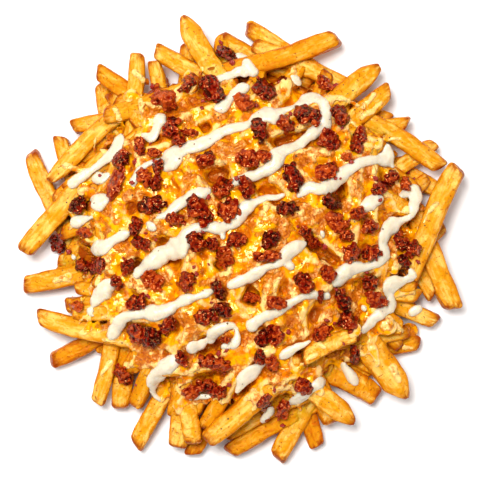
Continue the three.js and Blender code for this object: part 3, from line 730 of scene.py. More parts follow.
def fry_master(seed, sizes):
    """One straight fry along X: a square stick with eased edges and uneven faces."""
    start_clean()
    bpy.ops.mesh.primitive_cube_add(size=1)
    master = bpy.context.view_layer.objects.active
    master.scale = (MASTER_LENGTH, sizes.fry_width, sizes.fry_height)
    bpy.ops.object.transform_apply(location=False, rotation=False, scale=True)
    bpy.ops.object.mode_set(mode="EDIT")
    bpy.ops.mesh.select_all(action="SELECT")
    bpy.ops.mesh.bevel(offset=EDGE_ROUNDING, segments=EDGE_STEPS, affect="EDGES")
    cuts = [((x / MASTER_CUTS - 0.5) * MASTER_LENGTH, 0) for x in range(1, MASTER_CUTS)]
    cuts += [(0, 1), (0, 2)]
    for place, axis in cuts:
        normal = Vector((0, 0, 0))
        normal[axis] = 1
        bpy.ops.mesh.select_all(action="SELECT")
        bpy.ops.mesh.bisect(plane_co=place * normal, plane_no=normal)
    bpy.ops.mesh.select_all(action="SELECT")
    bpy.ops.mesh.remove_doubles(threshold=0.01 * MM)
    bpy.ops.mesh.normals_make_consistent(inside=False)
    bpy.ops.object.mode_set(mode="OBJECT")
    points = points_of(master)
    y_share = 2 * points[:, 1] / sizes.fry_width
    z_share = 2 * points[:, 2] / sizes.fry_height
    end_share = np.abs(2 * points[:, 0] / MASTER_LENGTH)
    corner = np.clip(np.abs(y_share * z_share), 0, 1) ** 2
    end = np.clip((end_share - BROWNED_END) / (1 - BROWNED_END), 0, 1)
    add_values(master, "crisp", np.clip(0.5 * corner + 0.85 * end, 0, 1))
    normals = normals_of(master)
    stretched = points * np.array([0.4, 1, 1])
    swell = FRY_SWELL * ripple(stretched, 130, seed) + FRY_RIPPLE * ripple(stretched, 380, seed + 9)
    pinch = -FRY_PINCH * (1 - corner) * (1 - end)
    moved = points + normals * (swell + pinch)[:, None]
    wander = np.stack([0 * swell, ripple(points * [1, 0, 0], 45, seed + 3),
                       ripple(points * [1, 0, 0], 45, seed + 5)], axis=1)
    set_points(master, moved + FRY_WANDER * wander)
    return master


def laid_points(points, fry, sizes):
    """A master's points, stretched, bent and turned into a fry's place."""
    run = fry.end - fry.start
    length = run.length
    share = 2 * points[:, 0] / MASTER_LENGTH
    tipness = np.clip((-share - TAPERED_END) / (1 - TAPERED_END), 0, 1)
    taper = 1 - (1 - FRY_END_SCALE) * np.abs(share) ** 6
    taper = taper * (1 - (1 - fry.point) * tipness ** 1.6)
    turn = FRY_TWIST * scatter(fry.index, 12) * share
    wide = points[:, 1] * fry.width / sizes.fry_width * taper
    tall = points[:, 2] * (0.5 + 0.5 * taper)
    across = wide * np.cos(turn) - tall * np.sin(turn)
    up = wide * np.sin(turn) + tall * np.cos(turn)
    slant = FRY_SLANT * scatter(fry.index, 8) * 2 * wide / fry.width
    rake = 0.5 * FRY_SLANT * scatter(fry.index, 9) * 2 * tall / sizes.fry_height
    forward = share * length / 2 + np.abs(share) ** 5 * (slant + rake)
    across = across + FRY_BEND * (1 - share ** 2) * scatter(fry.index, 7)
    up = up + FRY_BOW * (1 - share ** 2) * scatter(fry.index, 10)
    along = run.normalized()
    side = Vector((0, 0, 1)).cross(along).normalized()
    upward = along.cross(side)
    middle = (fry.start + fry.end) / 2
    placed = (forward[:, None] * np.array(along) + across[:, None] * np.array(side)
              + up[:, None] * np.array(upward) + np.array(middle))
    return placed


def fries_piece(name, fries, masters, sizes):
    """Copies of the masters, one for each fry, joined as one piece."""
    copies = []
    for fry in fries:
        master = masters[fry.index % len(masters)]
        copy = copy_of(master, f"{name}_{fry.index}")
        points = points_of(copy)
        set_points(copy, laid_points(points, fry, sizes))
        # Painted shade: faces that turn away from up are coloured more golden and amber, upward faces
        # paler; partly the fry's own darker sides, partly painted shade.
        facing_up = normals_of(copy)[:, 2]
        add_values(copy, "side", np.clip((0.97 - facing_up) / 0.55, 0, 1))
        add_values(copy, "tone", np.full(len(points), fry.tone))
        add_values(copy, "grain", points + 0.13 * fry.index)
        copies.append(copy)
    return joined(copies, name)


def core_piece(sizes):
    """The middle of the mound, which shows only in the gaps between fries, coloured dark as painted
    shade in those gaps.
    """
    start_clean()
    bpy.ops.mesh.primitive_circle_add(vertices=CORE_SIDES, radius=CORE_RADIUS, fill_type="NGON")
    core = bpy.context.view_layer.objects.active
    bpy.ops.object.mode_set(mode="EDIT")
    bpy.ops.mesh.select_all(action="SELECT")
    radius, height = CORE_RADIUS, 0.0
    for ring in range(CORE_RINGS, 0, -1):
        next_radius = (CORE_RADIUS - CORE_TOP_INSET) * ring / CORE_RINGS
        next_height = pile_height(next_radius, sizes) - CORE_SINK
        bpy.ops.mesh.extrude_region_move(
            TRANSFORM_OT_translate={"value": (0, 0, next_height - height)})
        factor = next_radius / radius
        bpy.ops.transform.resize(value=(factor, factor, 1))
        radius, height = next_radius, next_height
    bpy.ops.mesh.select_all(action="SELECT")
    bpy.ops.mesh.normals_make_consistent(inside=False)
    bpy.ops.object.mode_set(mode="OBJECT")
    apply_modifier(core, "TRIANGULATE")
    apply_modifier(core, "REMESH", mode="VOXEL", voxel_size=CORE_VOXEL)
    points = points_of(core)
    bulge = CORE_BULGE * ripple(points, 120, 4)
    rises = np.clip(points[:, 2] / (4 * MM), 0, 1)
    set_points(core, points + normals_of(core) * (bulge * rises)[:, None])
    count = len(points)
    # Painted shade: the core takes a dark crisp, side and tone, so that it colours the gaps between
    # fries as shade.
    add_values(core, "crisp", np.full(count, 0.8))
    add_values(core, "side", np.full(count, 1.0))
    add_values(core, "tone", np.full(count, 1.0))
    add_values(core, "grain", points)
    core.name = "fries_core"
    return core


# Draping

class Field:
    """Heights over a square of the table, read from above."""

    def __init__(self, heights):
        self.heights = heights

    def at(self, x, y):
        """Height at places, by blending the four nearest cells."""
        last = len(self.heights) - 1.001
        column = np.clip((np.asarray(x) + FIELD_REACH) / FIELD_CELL, 0, last)
        row = np.clip((np.asarray(y) + FIELD_REACH) / FIELD_CELL, 0, last)
        left, low = column.astype(int), row.astype(int)
        right_share, high_share = column - left, row - low
        h = self.heights
        below = h[low, left] * (1 - right_share) + h[low, left + 1] * right_share
        above = h[low + 1, left] * (1 - right_share) + h[low + 1, left + 1] * right_share
        return below * (1 - high_share) + above * high_share


def heights_over(pieces):
    """Rays from above find the highest face of the pieces at each cell."""
    graph = bpy.context.evaluated_depsgraph_get()
    trees = [BVHTree.FromObject(piece, graph) for piece in pieces]
    count = int(round(2 * FIELD_REACH / FIELD_CELL)) + 1
    places = np.linspace(-FIELD_REACH, FIELD_REACH, count)
    heights = np.zeros((count, count))
    down = Vector((0, 0, -1))
    for row, y in enumerate(places):
        for column, x in enumerate(places):
            if x * x + y * y > (FIELD_REACH + FIELD_CORNER) ** 2:
                continue
            for tree in trees:
                place = tree.ray_cast(Vector((x, y, RAY_HEIGHT)), down)[0]
                if place is not None and place.z > heights[row, column]:
                    heights[row, column] = place.z
    return heights


def shifted(heights, rows, columns):
    padded = np.pad(heights, ((abs(rows),) * 2, (abs(columns),) * 2), mode="edge")
    top = abs(rows) + rows
    left = abs(columns) + columns
    return padded[top:top + heights.shape[0], left:left + heights.shape[1]]


def spread(heights, cells, choose):
    """Each cell takes the highest, or the lowest, of those round it."""
    result = heights.copy()
    for rows in range(-cells, cells + 1):
        for columns in range(-cells, cells + 1):
            if rows * rows + columns * columns <= cells * cells:
                result = choose(result, shifted(heights, rows, columns))
    return result


def softened(heights, passes):
    for _ in range(passes):
        for rows, columns in ((1, 0), (0, 1)):
            near = shifted(heights, rows, columns) + shifted(heights, -rows, -columns)
            heights = 0.5 * heights + 0.25 * near
    return heights


def draped_over(heights, cells, passes):
    """Heights of a sheet that spans gaps up to twice this many cells wide."""
    closed = spread(spread(heights, cells, np.maximum), cells, np.minimum)
    return softened(closed, passes)


def noise_field(shape, size, seed):
    """Smooth noise over the field, with swells of about this size."""
    rows, columns = shape
    step = FIELD_CELL / size
    values = [noise.noise(Vector((column * step + 5.3 * seed, row * step, 2.7 * seed)))
              for row in range(rows) for column in range(columns)]
    return np.array(values).reshape(shape)


def seen_from_above(row):
    """A row of places and widths in the photograph as places and widths in millimetres."""
    scale = PIXEL * STRAND_NEARNESS
    middle_x, middle_y = CAMERA_OVER
    return [(middle_x + (x - PHOTO_MIDDLE) * scale, middle_y + (PHOTO_MIDDLE - y) * scale,
             width * STRAND_GROWTH) for x, y, width in row]


def strand_line(row, seed):
    """Close places along a row of x, y and width, and the strand's radius at each."""
    knots = np.array(row, float) * MM
    ahead = 2 * knots[0] - knots[1]
    behind = 2 * knots[-1] - knots[-2]
    knots = np.vstack([ahead, knots, behind])
    line = []
    for a, b, c, d in zip(knots, knots[1:], knots[2:], knots[3:]):
        steps = max(2, int(np.hypot(*(c - b)[:2]) / STRAND_STEP))
        for t in np.arange(steps) / steps:
            line.append(0.5 * (2 * b + (c - a) * t + (2 * a - 5 * b + 4 * c - d) * t * t
                               + (3 * b - a - 3 * c + d) * t ** 3))
    line = np.array(line + [knots[-2]])
    run = np.concatenate([[0], np.cumsum(np.hypot(*np.diff(line[:, :2], axis=0).T))])
    swells = [noise.noise(Vector((s * 130, 9.1 * seed, 0.5)))
              + 0.5 * noise.noise(Vector((s * 320, 9.1 * seed, 7.5))) for s in run]
    radius = 0.5 * line[:, 2] * (1 + STRAND_SWELLS * np.array(swells))
    inset = np.minimum(run, run[-1] - run)
    round_end = 1 - np.clip(inset / radius, 0.003, 1)
    return line[:, :2], radius * np.sqrt(1 - round_end ** 2)


def strands_piece(rows, field, rise, lift, name):
    """Round strands along rows of x, y and width, laid on a field of heights and flattened."""
    curve = bpy.data.curves.new(name, "CURVE")
    curve.dimensions = "3D"
    curve.bevel_depth = 1.0
    curve.bevel_resolution = 3
    curve.use_fill_caps = True
    for seed, row in enumerate(rows):
        places, radii = strand_line(row, seed)
        spline = curve.splines.new("POLY")
        spline.points.add(len(places) - 1)
        flat = np.column_stack([places, np.zeros(len(places)), np.ones(len(places))])
        spline.points.foreach_set("co", flat.ravel())
        spline.points.foreach_set("radius", radii)
    piece = bpy.data.objects.new(name, curve)
    bpy.context.collection.objects.link(piece)
    pick(piece)
    bpy.ops.object.convert(target="MESH")
    piece = bpy.context.view_layer.objects.active
    points = points_of(piece)
    points[:, 2] = rise * points[:, 2] + field.at(points[:, 0], points[:, 1]) + lift
    set_points(piece, points)
    bpy.ops.object.mode_set(mode="EDIT")
    bpy.ops.mesh.select_all(action="SELECT")
    bpy.ops.mesh.remove_doubles(threshold=0.01 * MM)
    bpy.ops.mesh.normals_make_consistent(inside=False)
    bpy.ops.object.mode_set(mode="OBJECT")
    return piece


# Cheese

def cheese_shreds(sizes):
    """Rows of melted shreds, tongues over the rim and drips, as x, y and width."""
    draw = random.Random(11)
    rows = []
    for _ in range(SHRED_COUNT):
        angle = draw.uniform(0, 2 * math.pi)
        radius = SHRED_REACH * math.sqrt(draw.random())
        heading = draw.uniform(0, 2 * math.pi)
        x, y = radius * math.cos(angle), radius * math.sin(angle)
        width = draw.uniform(*SHRED_WIDTHS)
        row = []
        for _ in range(draw.randint(3, 5)):
            row.append((x, y, width))
            heading += draw.uniform(-SHRED_BEND, SHRED_BEND)
            x += SHRED_STEP * math.cos(heading)
            y += SHRED_STEP * math.sin(heading)
        rows.append(row)
    for i in range(TONGUE_COUNT):
        angle = 2 * math.pi * (i + draw.uniform(-0.4, 0.4)) / TONGUE_COUNT
        reach = cheese_reach(angle, sizes) / MM
        width = draw.uniform(*TONGUE_WIDTHS)
        bend = draw.uniform(-TONGUE_BEND, TONGUE_BEND)
        row = []
        for step, wide in enumerate(TONGUE_TAPER):
            out = reach - TONGUE_INSET + step * draw.uniform(*TONGUE_STEPS)
            turn = angle + bend * step
            row.append((out * math.cos(turn), out * math.sin(turn), width * wide))
        rows.append(row)
    for from_x, from_y, to_x, to_y, width in CHEESE_DRIPS:
        middle = (0.5 * (from_x + to_x), 0.5 * (from_y + to_y), 0.8 * width)
        rows.append([(from_x, from_y, 1.1 * width), middle, (to_x, to_y, width)])
    return rows


def cheese_beads(field):
    """Rounded lumps of cheese, copies of one eased ball, sunk into the sheet."""
    draw = random.Random(5)
    start_clean()
    bpy.ops.mesh.primitive_ico_sphere_add(subdivisions=3, radius=1)
    ball = bpy.context.view_layer.objects.active
    places = list(CHEESE_LUMPS)
    for _ in range(BEAD_COUNT):
        angle = draw.uniform(0, 2 * math.pi)
        radius = BEAD_REACH * math.sqrt(draw.random())
        x, y = radius * math.cos(angle), radius * math.sin(angle)
        places.append((x, y, draw.uniform(*BEAD_RADII)))
    beads = []
    for i, (x, y, radius) in enumerate(places):
        bead = copy_of(ball, f"bead_{i}")
        shape = np.array([draw.uniform(0.8, 1.2), draw.uniform(0.8, 1.2), BEAD_FLATNESS])
        shape = shape * radius * MM
        height = float(field.at(x * MM, y * MM))
        set_points(bead, points_of(ball) * shape + np.array([x * MM, y * MM, height]))
        beads.append(bead)
    remove([ball])
    return joined(beads, "cheese_beads")


def cheese_sheet(field, thickness):
    """A sheet over the fries, open where the cheese has run thin, with a real thickness."""
    start_clean()
    cells = len(field.heights) - 1
    bpy.ops.mesh.primitive_grid_add(x_subdivisions=cells, y_subdivisions=cells, size=2 * FIELD_REACH)
    sheet = bpy.context.view_layer.objects.active
    points = points_of(sheet)
    thick = Field(thickness).at(points[:, 0], points[:, 1])
    points[:, 2] = field.at(points[:, 0], points[:, 1]) + thick + CHEESE_LIFT
    set_points(sheet, points)
    bare = thick < CHEESE_THIN
    sheet.data.vertices.foreach_set("select", bare)
    sheet.data.edges.foreach_set("select", np.zeros(len(sheet.data.edges), bool))
    sheet.data.polygons.foreach_set("select", np.zeros(len(sheet.data.polygons), bool))
    bpy.ops.object.mode_set(mode="EDIT")
    bpy.ops.mesh.select_mode(type="VERT")
    bpy.ops.mesh.delete(type="VERT")
    bpy.ops.object.mode_set(mode="OBJECT")
    apply_modifier(sheet, "SOLIDIFY", thickness=CHEESE_SOLID, offset=-1)
    return sheet


def cheese_thickness(bare, sheet, sizes):
    """Thickness of the cheese over the field: pools, thin places and a frayed outline."""
    shape = bare.shape
    places = np.linspace(-FIELD_REACH, FIELD_REACH, shape[0])
    x, y = np.meshgrid(places, places)
    radius = np.hypot(x, y)
    reach = cheese_reach(np.arctan2(y, x), sizes)
    edge = (reach - radius) + FRAY * noise_field(shape, 9 * MM, 1) - 3 * MM
    edge = edge + 0.5 * FRAY * noise_field(shape, 4 * MM, 2)
    lumps = 0.5 + 0.6 * noise_field(shape, 7 * MM, 3) + 0.35 * noise_field(shape, 3.2 * MM, 4)
    pooled = share_of(sheet - bare, 3 * MM)
    thin = share_of(bare - softened(bare, 12), 2.5 * MM)
    cover = share_of(reach - radius, 22 * MM)
    least = 0.05 + 0.4 * cover
    thickness = CHEESE_FULL * np.clip(lumps + 0.4 * pooled - 0.35 * thin, least, 1.4)
    fade = share_of(edge, 7 * MM)
    gap = share_of(sheet - bare - 7 * MM, 3 * MM) * share_of(radius - 60 * MM, 15 * MM)
    from_x, from_y, to_x, to_y = np.array(TOP_FRY) * MM
    along = np.array([to_x - from_x, to_y - from_y])
    share = ((x - from_x) * along[0] + (y - from_y) * along[1]) / (along @ along)
    share = np.clip(share, 0, 1)
    away = np.hypot(x - from_x - share * along[0], y - from_y - share * along[1])
    return thickness * fade * (1 - gap) * share_of(away - TOP_FRY_BARE, TOP_FRY_FADE)


class HEAP_OT_fries(bpy.types.Operator):
    """Makes the fries of the rim, the flank and the mound, and the core under them"""

    bl_idname = "heap.fries"
    bl_label = "Fries"

    def execute(self, context):
        sizes = context.scene.heap_sizes
        masters = [fry_master(seed, sizes) for seed in range(MASTER_COUNT)]
        material = fry_material(context.scene.heap_colours)
        rim = fries_piece("fries_rim", rim_fries(sizes) + fill_fries(sizes), masters, sizes)
        flank = fries_piece("fries_flank", flank_fries(sizes), masters, sizes)
        pile = fries_piece("fries_pile", pile_fries(sizes), masters, sizes)
        core = core_piece(sizes)
        for piece in (rim, flank, pile, core):
            finished(piece, material, "fries", "fries")
        remove(masters)
        return {"FINISHED"}


class HEAP_OT_cheese(bpy.types.Operator):
    """Drapes the melted cheese over the fries, with its shreds, beads and drips"""

    bl_idname = "heap.cheese"
    bl_label = "Melted cheese"

    def execute(self, context):
        sizes = context.scene.heap_sizes
        bare = heights_over([bpy.data.objects[name] for name in FRY_PIECES])
        sheet_heights = draped_over(bare, CLOSE_CELLS, 2)
        thickness = cheese_thickness(bare, sheet_heights, sizes)
        field = Field(sheet_heights)
        top = Field(sheet_heights + thickness)
        sheet = cheese_sheet(field, thickness)
        shreds = strands_piece(cheese_shreds(sizes), top, 0.6, 0.2 * MM, "cheese_shreds")
        cheese = joined([sheet, shreds, cheese_beads(top)], "cheese_melted")
        remeshed(cheese, CHEESE_VOXEL, 2)
        points = points_of(cheese)
        baked = ripple(points, 110, 2) + 0.5 * ripple(points, 300, 6)
        grains = ripple(points, 520, 7)
        relief = CHEESE_GRAIN * grains * np.clip(baked + 0.3, 0, 1)
        relief = relief + CHEESE_SWELL * ripple(points, 260, 8)
        set_points(cheese, points + normals_of(cheese) * relief[:, None])
        add_values(cheese, "baked", np.clip(0.5 + 1.4 * baked, 0, 1))
        # The hollows carry the cheese's painted shade: its creases are coloured brown, and its pale is
        # kept out of them.
        add_values(cheese, "hollow", hollows_of(cheese, 8, 0.5 * MM))
        # The ridges over the fries are given the cheese's pale, partly thin cheese over a fry, partly
        # painted highlight.
        rises = Field(bare - softened(bare, 14)).at(points[:, 0], points[:, 1])
        add_values(cheese, "ridge", np.clip(rises / (3 * MM), -1, 1))
        finished(cheese, cheese_material(context.scene.heap_colours), "cheese", "melted_cheese")
        return {"FINISHED"}


# Drizzle

class HEAP_OT_drizzle(bpy.types.Operator):
    """Lays the thick ivory drizzle over the cheese"""

    bl_idname = "heap.drizzle"
    bl_label = "Drizzle"

    def execute(self, context):
        names = FRY_PIECES + ("cheese_melted",)
        heights = heights_over([bpy.data.objects[name] for name in names])
        field = Field(draped_over(heights, 6, 8))
        rows = [seen_from_above(row) for row in DRIZZLE]
        drizzle = strands_piece(rows, field, DRIZZLE_RISE, DRIZZLE_LIFT, "drizzle_strands")
        remeshed(drizzle, DRIZZLE_VOXEL, 3)
        points = points_of(drizzle)
        lumps = DRIZZLE_SWELL * ripple(points, 210, 3) + DRIZZLE_RIPPLE * ripple(points, 480, 4)
        points = points + normals_of(drizzle) * lumps[:, None]
        set_points(drizzle, points)
        # The thin lower edge of the sauce is tinted orange: partly the cheese showing through thin
        # sauce, partly painted warm shade in place of the grey shade there.
        rise = points[:, 2] - field.at(points[:, 0], points[:, 1]) - DRIZZLE_LIFT
        add_values(drizzle, "edge", np.clip(1 - rise / DRIZZLE_EDGE, 0, 1))
        material = drizzle_material(context.scene.heap_colours)
        finished(drizzle, material, "drizzle", "melted_cheese")
        return {"FINISHED"}


# Bacon

def crumble_master(seed):
    """One crumble of bacon: many small lumps and shards grown together and roughened."""
    draw = random.Random(100 + seed)
    start_clean()
    bpy.ops.mesh.primitive_ico_sphere_add(subdivisions=1, radius=1)
    ball = bpy.context.view_layer.objects.active
    bpy.ops.mesh.primitive_cube_add(size=SHARD_SIZE)
    shard = bpy.context.view_layer.objects.active
    lumps = []
    for i in range(CRUMBLE_LUMPS):
        kind = shard if i % 3 else ball
        lump = copy_of(kind, f"lump_{i}")
        angle = draw.uniform(0, 2 * math.pi)
        out = draw.random() ** 0.6
        radius = draw.uniform(*LUMP_RADII) * MM
        half_length = 0.5 * CRUMBLE_LENGTH * draw.uniform(0.75, 1.05) - radius
        half_width = 0.5 * CRUMBLE_WIDTH * draw.uniform(0.75, 1.05) - radius
        height = CRUMBLE_HEIGHT * draw.uniform(-0.25, 0.42) * math.sqrt(1.08 - out * out)
        place = np.array([out * half_length * math.cos(angle), out * half_width * math.sin(angle),
                          height])
        shape = radius * np.array([draw.uniform(0.5, 1.5), draw.uniform(0.5, 1.3), 1])
        turn = Matrix.Rotation(draw.uniform(0, math.pi), 3, Vector((1, 1, draw.uniform(-1, 1))))
        set_points(lump, (points_of(kind) * shape) @ np.array(turn) + place)
        lumps.append(lump)
    remove([ball, shard])
    start_clean()
    bpy.ops.mesh.primitive_ico_sphere_add(subdivisions=3, radius=1)
    heart = bpy.context.view_layer.objects.active
    heart.scale = (0.33 * CRUMBLE_LENGTH, 0.31 * CRUMBLE_WIDTH, 0.26 * CRUMBLE_HEIGHT)
    crumble = joined([heart] + lumps, f"crumble_{seed}")
    remeshed(crumble, CRUMBLE_VOXEL, 0)
    points = points_of(crumble)
    rough = CRUMBLE_ROUGH * ripple(points, 330, seed) + CRUMBLE_FINE * ripple(points, 800, seed + 4)
    set_points(crumble, points + normals_of(crumble) * rough[:, None])
    pick(crumble)
    triangles = 2 * len(crumble.data.polygons)
    apply_modifier(crumble, "DECIMATE", ratio=min(1.0, CRUMBLE_TRIANGLES / triangles))
    # The depth and the hollows feed the bacon's painted shade: low and hollow places are coloured
    # darker.
    add_values(crumble, "depth", points_of(crumble)[:, 2] / CRUMBLE_HEIGHT)
    add_values(crumble, "hollow", hollows_of(crumble, 5, 0.35 * MM))
    return crumble


class HEAP_OT_bacon(bpy.types.Operator):
    """Scatters the bacon crumbles where they lie, on the cheese and the drizzle"""

    bl_idname = "heap.bacon"
    bl_label = "Bacon crumbles"

    def execute(self, context):
        masters = [crumble_master(seed) for seed in range(CRUMBLE_MASTERS)]
        names = FRY_PIECES + ("cheese_melted", "drizzle_strands")
        heights = heights_over([bpy.data.objects[name] for name in names])
        field = Field(softened(heights, 10))
        crumbles = []
        for index, (x, y, length, width, heading, shade) in enumerate(BACON):
            crumble = copy_of(masters[index % CRUMBLE_MASTERS], f"crumble_{index}")
            angle = math.radians(heading) + (math.pi if scatter(index, 5) > 0 else 0)
            grown = CRUMBLE_GROWTH * MM
            size = np.array([length * grown / CRUMBLE_LENGTH, width * grown / CRUMBLE_WIDTH, 1.0])
            size[2] = min(1.0, 0.35 + 0.7 * size[1])
            points = points_of(crumble) * size
            turn = np.array(Matrix.Rotation(angle, 3, "Z"))
            points = points @ turn.T + np.array([x * MM, y * MM, CRUMBLE_SEAT])
            points[:, 2] += field.at(points[:, 0], points[:, 1])
            set_points(crumble, points)
            add_values(crumble, "shade", np.full(len(points), shade / 3))
            add_values(crumble, "luck", np.full(len(points), 0.5 + 0.5 * scatter(index, 6)))
            crumbles.append(crumble)
        remove(masters)
        nodes = [name for name in frame["nodes"] if name.startswith("bacon_")]
        material = bacon_material(context.scene.heap_colours)
        for start, name in enumerate(("bacon_crumbles", "bacon_crumbles_more")):
            finished(joined(crumbles[start::2], name), material, "bacon", *nodes)
        return {"FINISHED"}


# Crumbs and specks

def round_master():
    """A small round grain, one unit in radius."""
    start_clean()
    bpy.ops.mesh.primitive_ico_sphere_add(subdivisions=2, radius=1)
    grain = bpy.context.view_layer.objects.active
    add_values(grain, "hollow", np.zeros(len(grain.data.vertices)))
    return grain


def bit_master():
    """A bit of bacon: a crumble with fewer triangles, about one unit in radius."""
    bit = crumble_master(BIT_SEED)
    pick(bit)
    apply_modifier(bit, "DECIMATE", ratio=BIT_TRIANGLES / CRUMBLE_TRIANGLES)
    bit.data.attributes.remove(bit.data.attributes["depth"])
    set_points(bit, points_of(bit) * 2 / np.array([CRUMBLE_LENGTH, CRUMBLE_WIDTH, CRUMBLE_HEIGHT]))
    return bit


def small_bits(name, ball, count, sizes, flatness, field, places, seed):
    """Small rough grains, copies of one, sunk a little in what they lie on."""
    draw = random.Random(seed)
    base = points_of(ball)
    grains = []
    for i in range(count):
        grain = copy_of(ball, f"{name}_{i}")
        x, y = places(draw)
        size = draw.uniform(*sizes)
        rough = 1 + 0.35 * ripple(base, 1.4, i)
        shape = np.array([size, size * draw.uniform(0.5, 1), size * flatness])
        turn = np.array(Matrix.Rotation(draw.uniform(0, math.pi), 3, "Z"))
        height = float(field.at(x, y)) + 0.3 * size * flatness
        points = (base * rough[:, None] * shape) @ turn.T + np.array([x, y, height])
        set_points(grain, points)
        add_values(grain, "shade", np.full(len(base), draw.choice((0.0, 0.33, 0.67))))
        add_values(grain, "luck", np.full(len(base), draw.random()))
        # A fixed depth, which the bacon's painted shade reads.
        add_values(grain, "depth", np.full(len(base), 0.2))
        grains.append(grain)
    bpy.data.objects.remove(ball)
    return joined(grains, name)


def near_bacon(draw):
    """A place beside one of the bacon crumbles."""
    x, y, length = draw.choice(BACON)[:3]
    angle = draw.uniform(0, 2 * math.pi)
    out = length * draw.uniform(0.4, 0.72)
    return (x + out * math.cos(angle)) * MM, (y + out * math.sin(angle)) * MM


def anywhere(draw):
    angle = draw.uniform(0, 2 * math.pi)
    radius = BITS_REACH * math.sqrt(draw.random())
    return radius * math.cos(angle), radius * math.sin(angle)


class HEAP_OT_crumbs(bpy.types.Operator):
    """Scatters small bits of bacon and dark specks over the heap"""

    bl_idname = "heap.crumbs"
    bl_label = "Crumbs and specks"

    def execute(self, context):
        names = FRY_PIECES + ("cheese_melted", "drizzle_strands")
        field = Field(heights_over([bpy.data.objects[name] for name in names]))

        def on_heap(places):
            def place(draw):
                x, y = places(draw)
                while field.at(x, y) < BITS_LOWEST:
                    x, y = places(draw)
                return x, y
            return place

        bits = small_bits("bacon_bits", bit_master(), BIT_COUNT, BIT_SIZES, 0.8, field,
                          on_heap(near_bacon), 21)
        finished(bits, bpy.data.materials["bacon"], "bacon")
        specks = small_bits("specks", round_master(), SPECK_COUNT, SPECK_SIZES, 0.5, field,
                            on_heap(anywhere), 22)
        finished(specks, speck_material(), "bacon")
        return {"FINISHED"}


# Materials

class Finish:
    """A material in the making, with short calls for its nodes."""

    def __init__(self, name):
        self.material = bpy.data.materials.new(name)
        self.material.use_nodes = True
        self.nodes = self.material.node_tree.nodes
        self.links = self.material.node_tree.links
        self.shader = self.nodes["Principled BSDF"]

    def add(self, kind, **settings):
        node = self.nodes.new(kind)
        for key, value in settings.items():
            setattr(node, key, value)
        return node

    def feed(self, socket, value):
        if isinstance(value, bpy.types.NodeSocket):
            self.links.new(value, socket)
        elif hasattr(value, "__len__") and len(value) == 3 and socket.type == "RGBA":
            socket.default_value = (*value, 1)
        else:
            socket.default_value = value

    def attribute(self, name, output="Fac"):
        return self.add("ShaderNodeAttribute", attribute_name=name).outputs[output]

    def place(self):
        return self.add("ShaderNodeTexCoord").outputs["Object"]

    def stretched(self, vector, scale):
        node = self.add("ShaderNodeMapping")
        self.feed(node.inputs["Vector"], vector)
        node.inputs["Scale"].default_value = scale
        return node.outputs["Vector"]

    def noise(self, vector, scale, detail=3.0, roughness=0.55, distortion=0.0):
        node = self.add("ShaderNodeTexNoise")
        self.feed(node.inputs["Vector"], vector)
        node.inputs["Scale"].default_value = scale
        node.inputs["Detail"].default_value = detail
        node.inputs["Roughness"].default_value = roughness
        node.inputs["Distortion"].default_value = distortion
        return node.outputs["Fac"]

    def math(self, operation, first, second=0.0):
        node = self.add("ShaderNodeMath", operation=operation)
        self.feed(node.inputs[0], first)
        self.feed(node.inputs[1], second)
        return node.outputs[0]

    def total(self, base, *parts):
        """The base and each part times its weight, kept from 0 to 1."""
        value = base
        for part, weight in parts:
            value = self.math("ADD", self.math("MULTIPLY", part, weight), value)
        value.node.use_clamp = True
        return value

    def ranged(self, value, low, high, to_low=0.0, to_high=1.0):
        node = self.add("ShaderNodeMapRange", interpolation_type="SMOOTHSTEP")
        self.feed(node.inputs["Value"], value)
        node.inputs["From Min"].default_value = low
        node.inputs["From Max"].default_value = high
        node.inputs["To Min"].default_value = to_low
        node.inputs["To Max"].default_value = to_high
        return node.outputs["Result"]

    def mix(self, factor, first, second):
        node = self.add("ShaderNodeMix", data_type="RGBA")
        self.feed(node.inputs[0], factor)
        self.feed(node.inputs[6], first)
        self.feed(node.inputs[7], second)
        return node.outputs[2]

    def bump(self, height, strength, distance, below=None):
        node = self.add("ShaderNodeBump")
        self.feed(node.inputs["Height"], height)
        node.inputs["Strength"].default_value = strength
        node.inputs["Distance"].default_value = distance
        if below is not None:
            self.feed(node.inputs["Normal"], below)
        return node.outputs["Normal"]

    def surface(self, colour, roughness, normal, shine=0.5, tint=(1, 1, 1)):
        self.feed(self.shader.inputs["Base Color"], colour)
        self.feed(self.shader.inputs["Roughness"], roughness)
        self.feed(self.shader.inputs["Normal"], normal)
        self.shader.inputs["Specular IOR Level"].default_value = shine
        self.shader.inputs["Specular Tint"].default_value = (*tint, 1)
        return self.material

    def glow(self, weight, radius, scale):
        """Light that goes in and comes out again nearby."""
        self.shader.inputs["Subsurface Weight"].default_value = weight
        self.shader.inputs["Subsurface Radius"].default_value = radius
        self.shader.inputs["Subsurface Scale"].default_value = scale


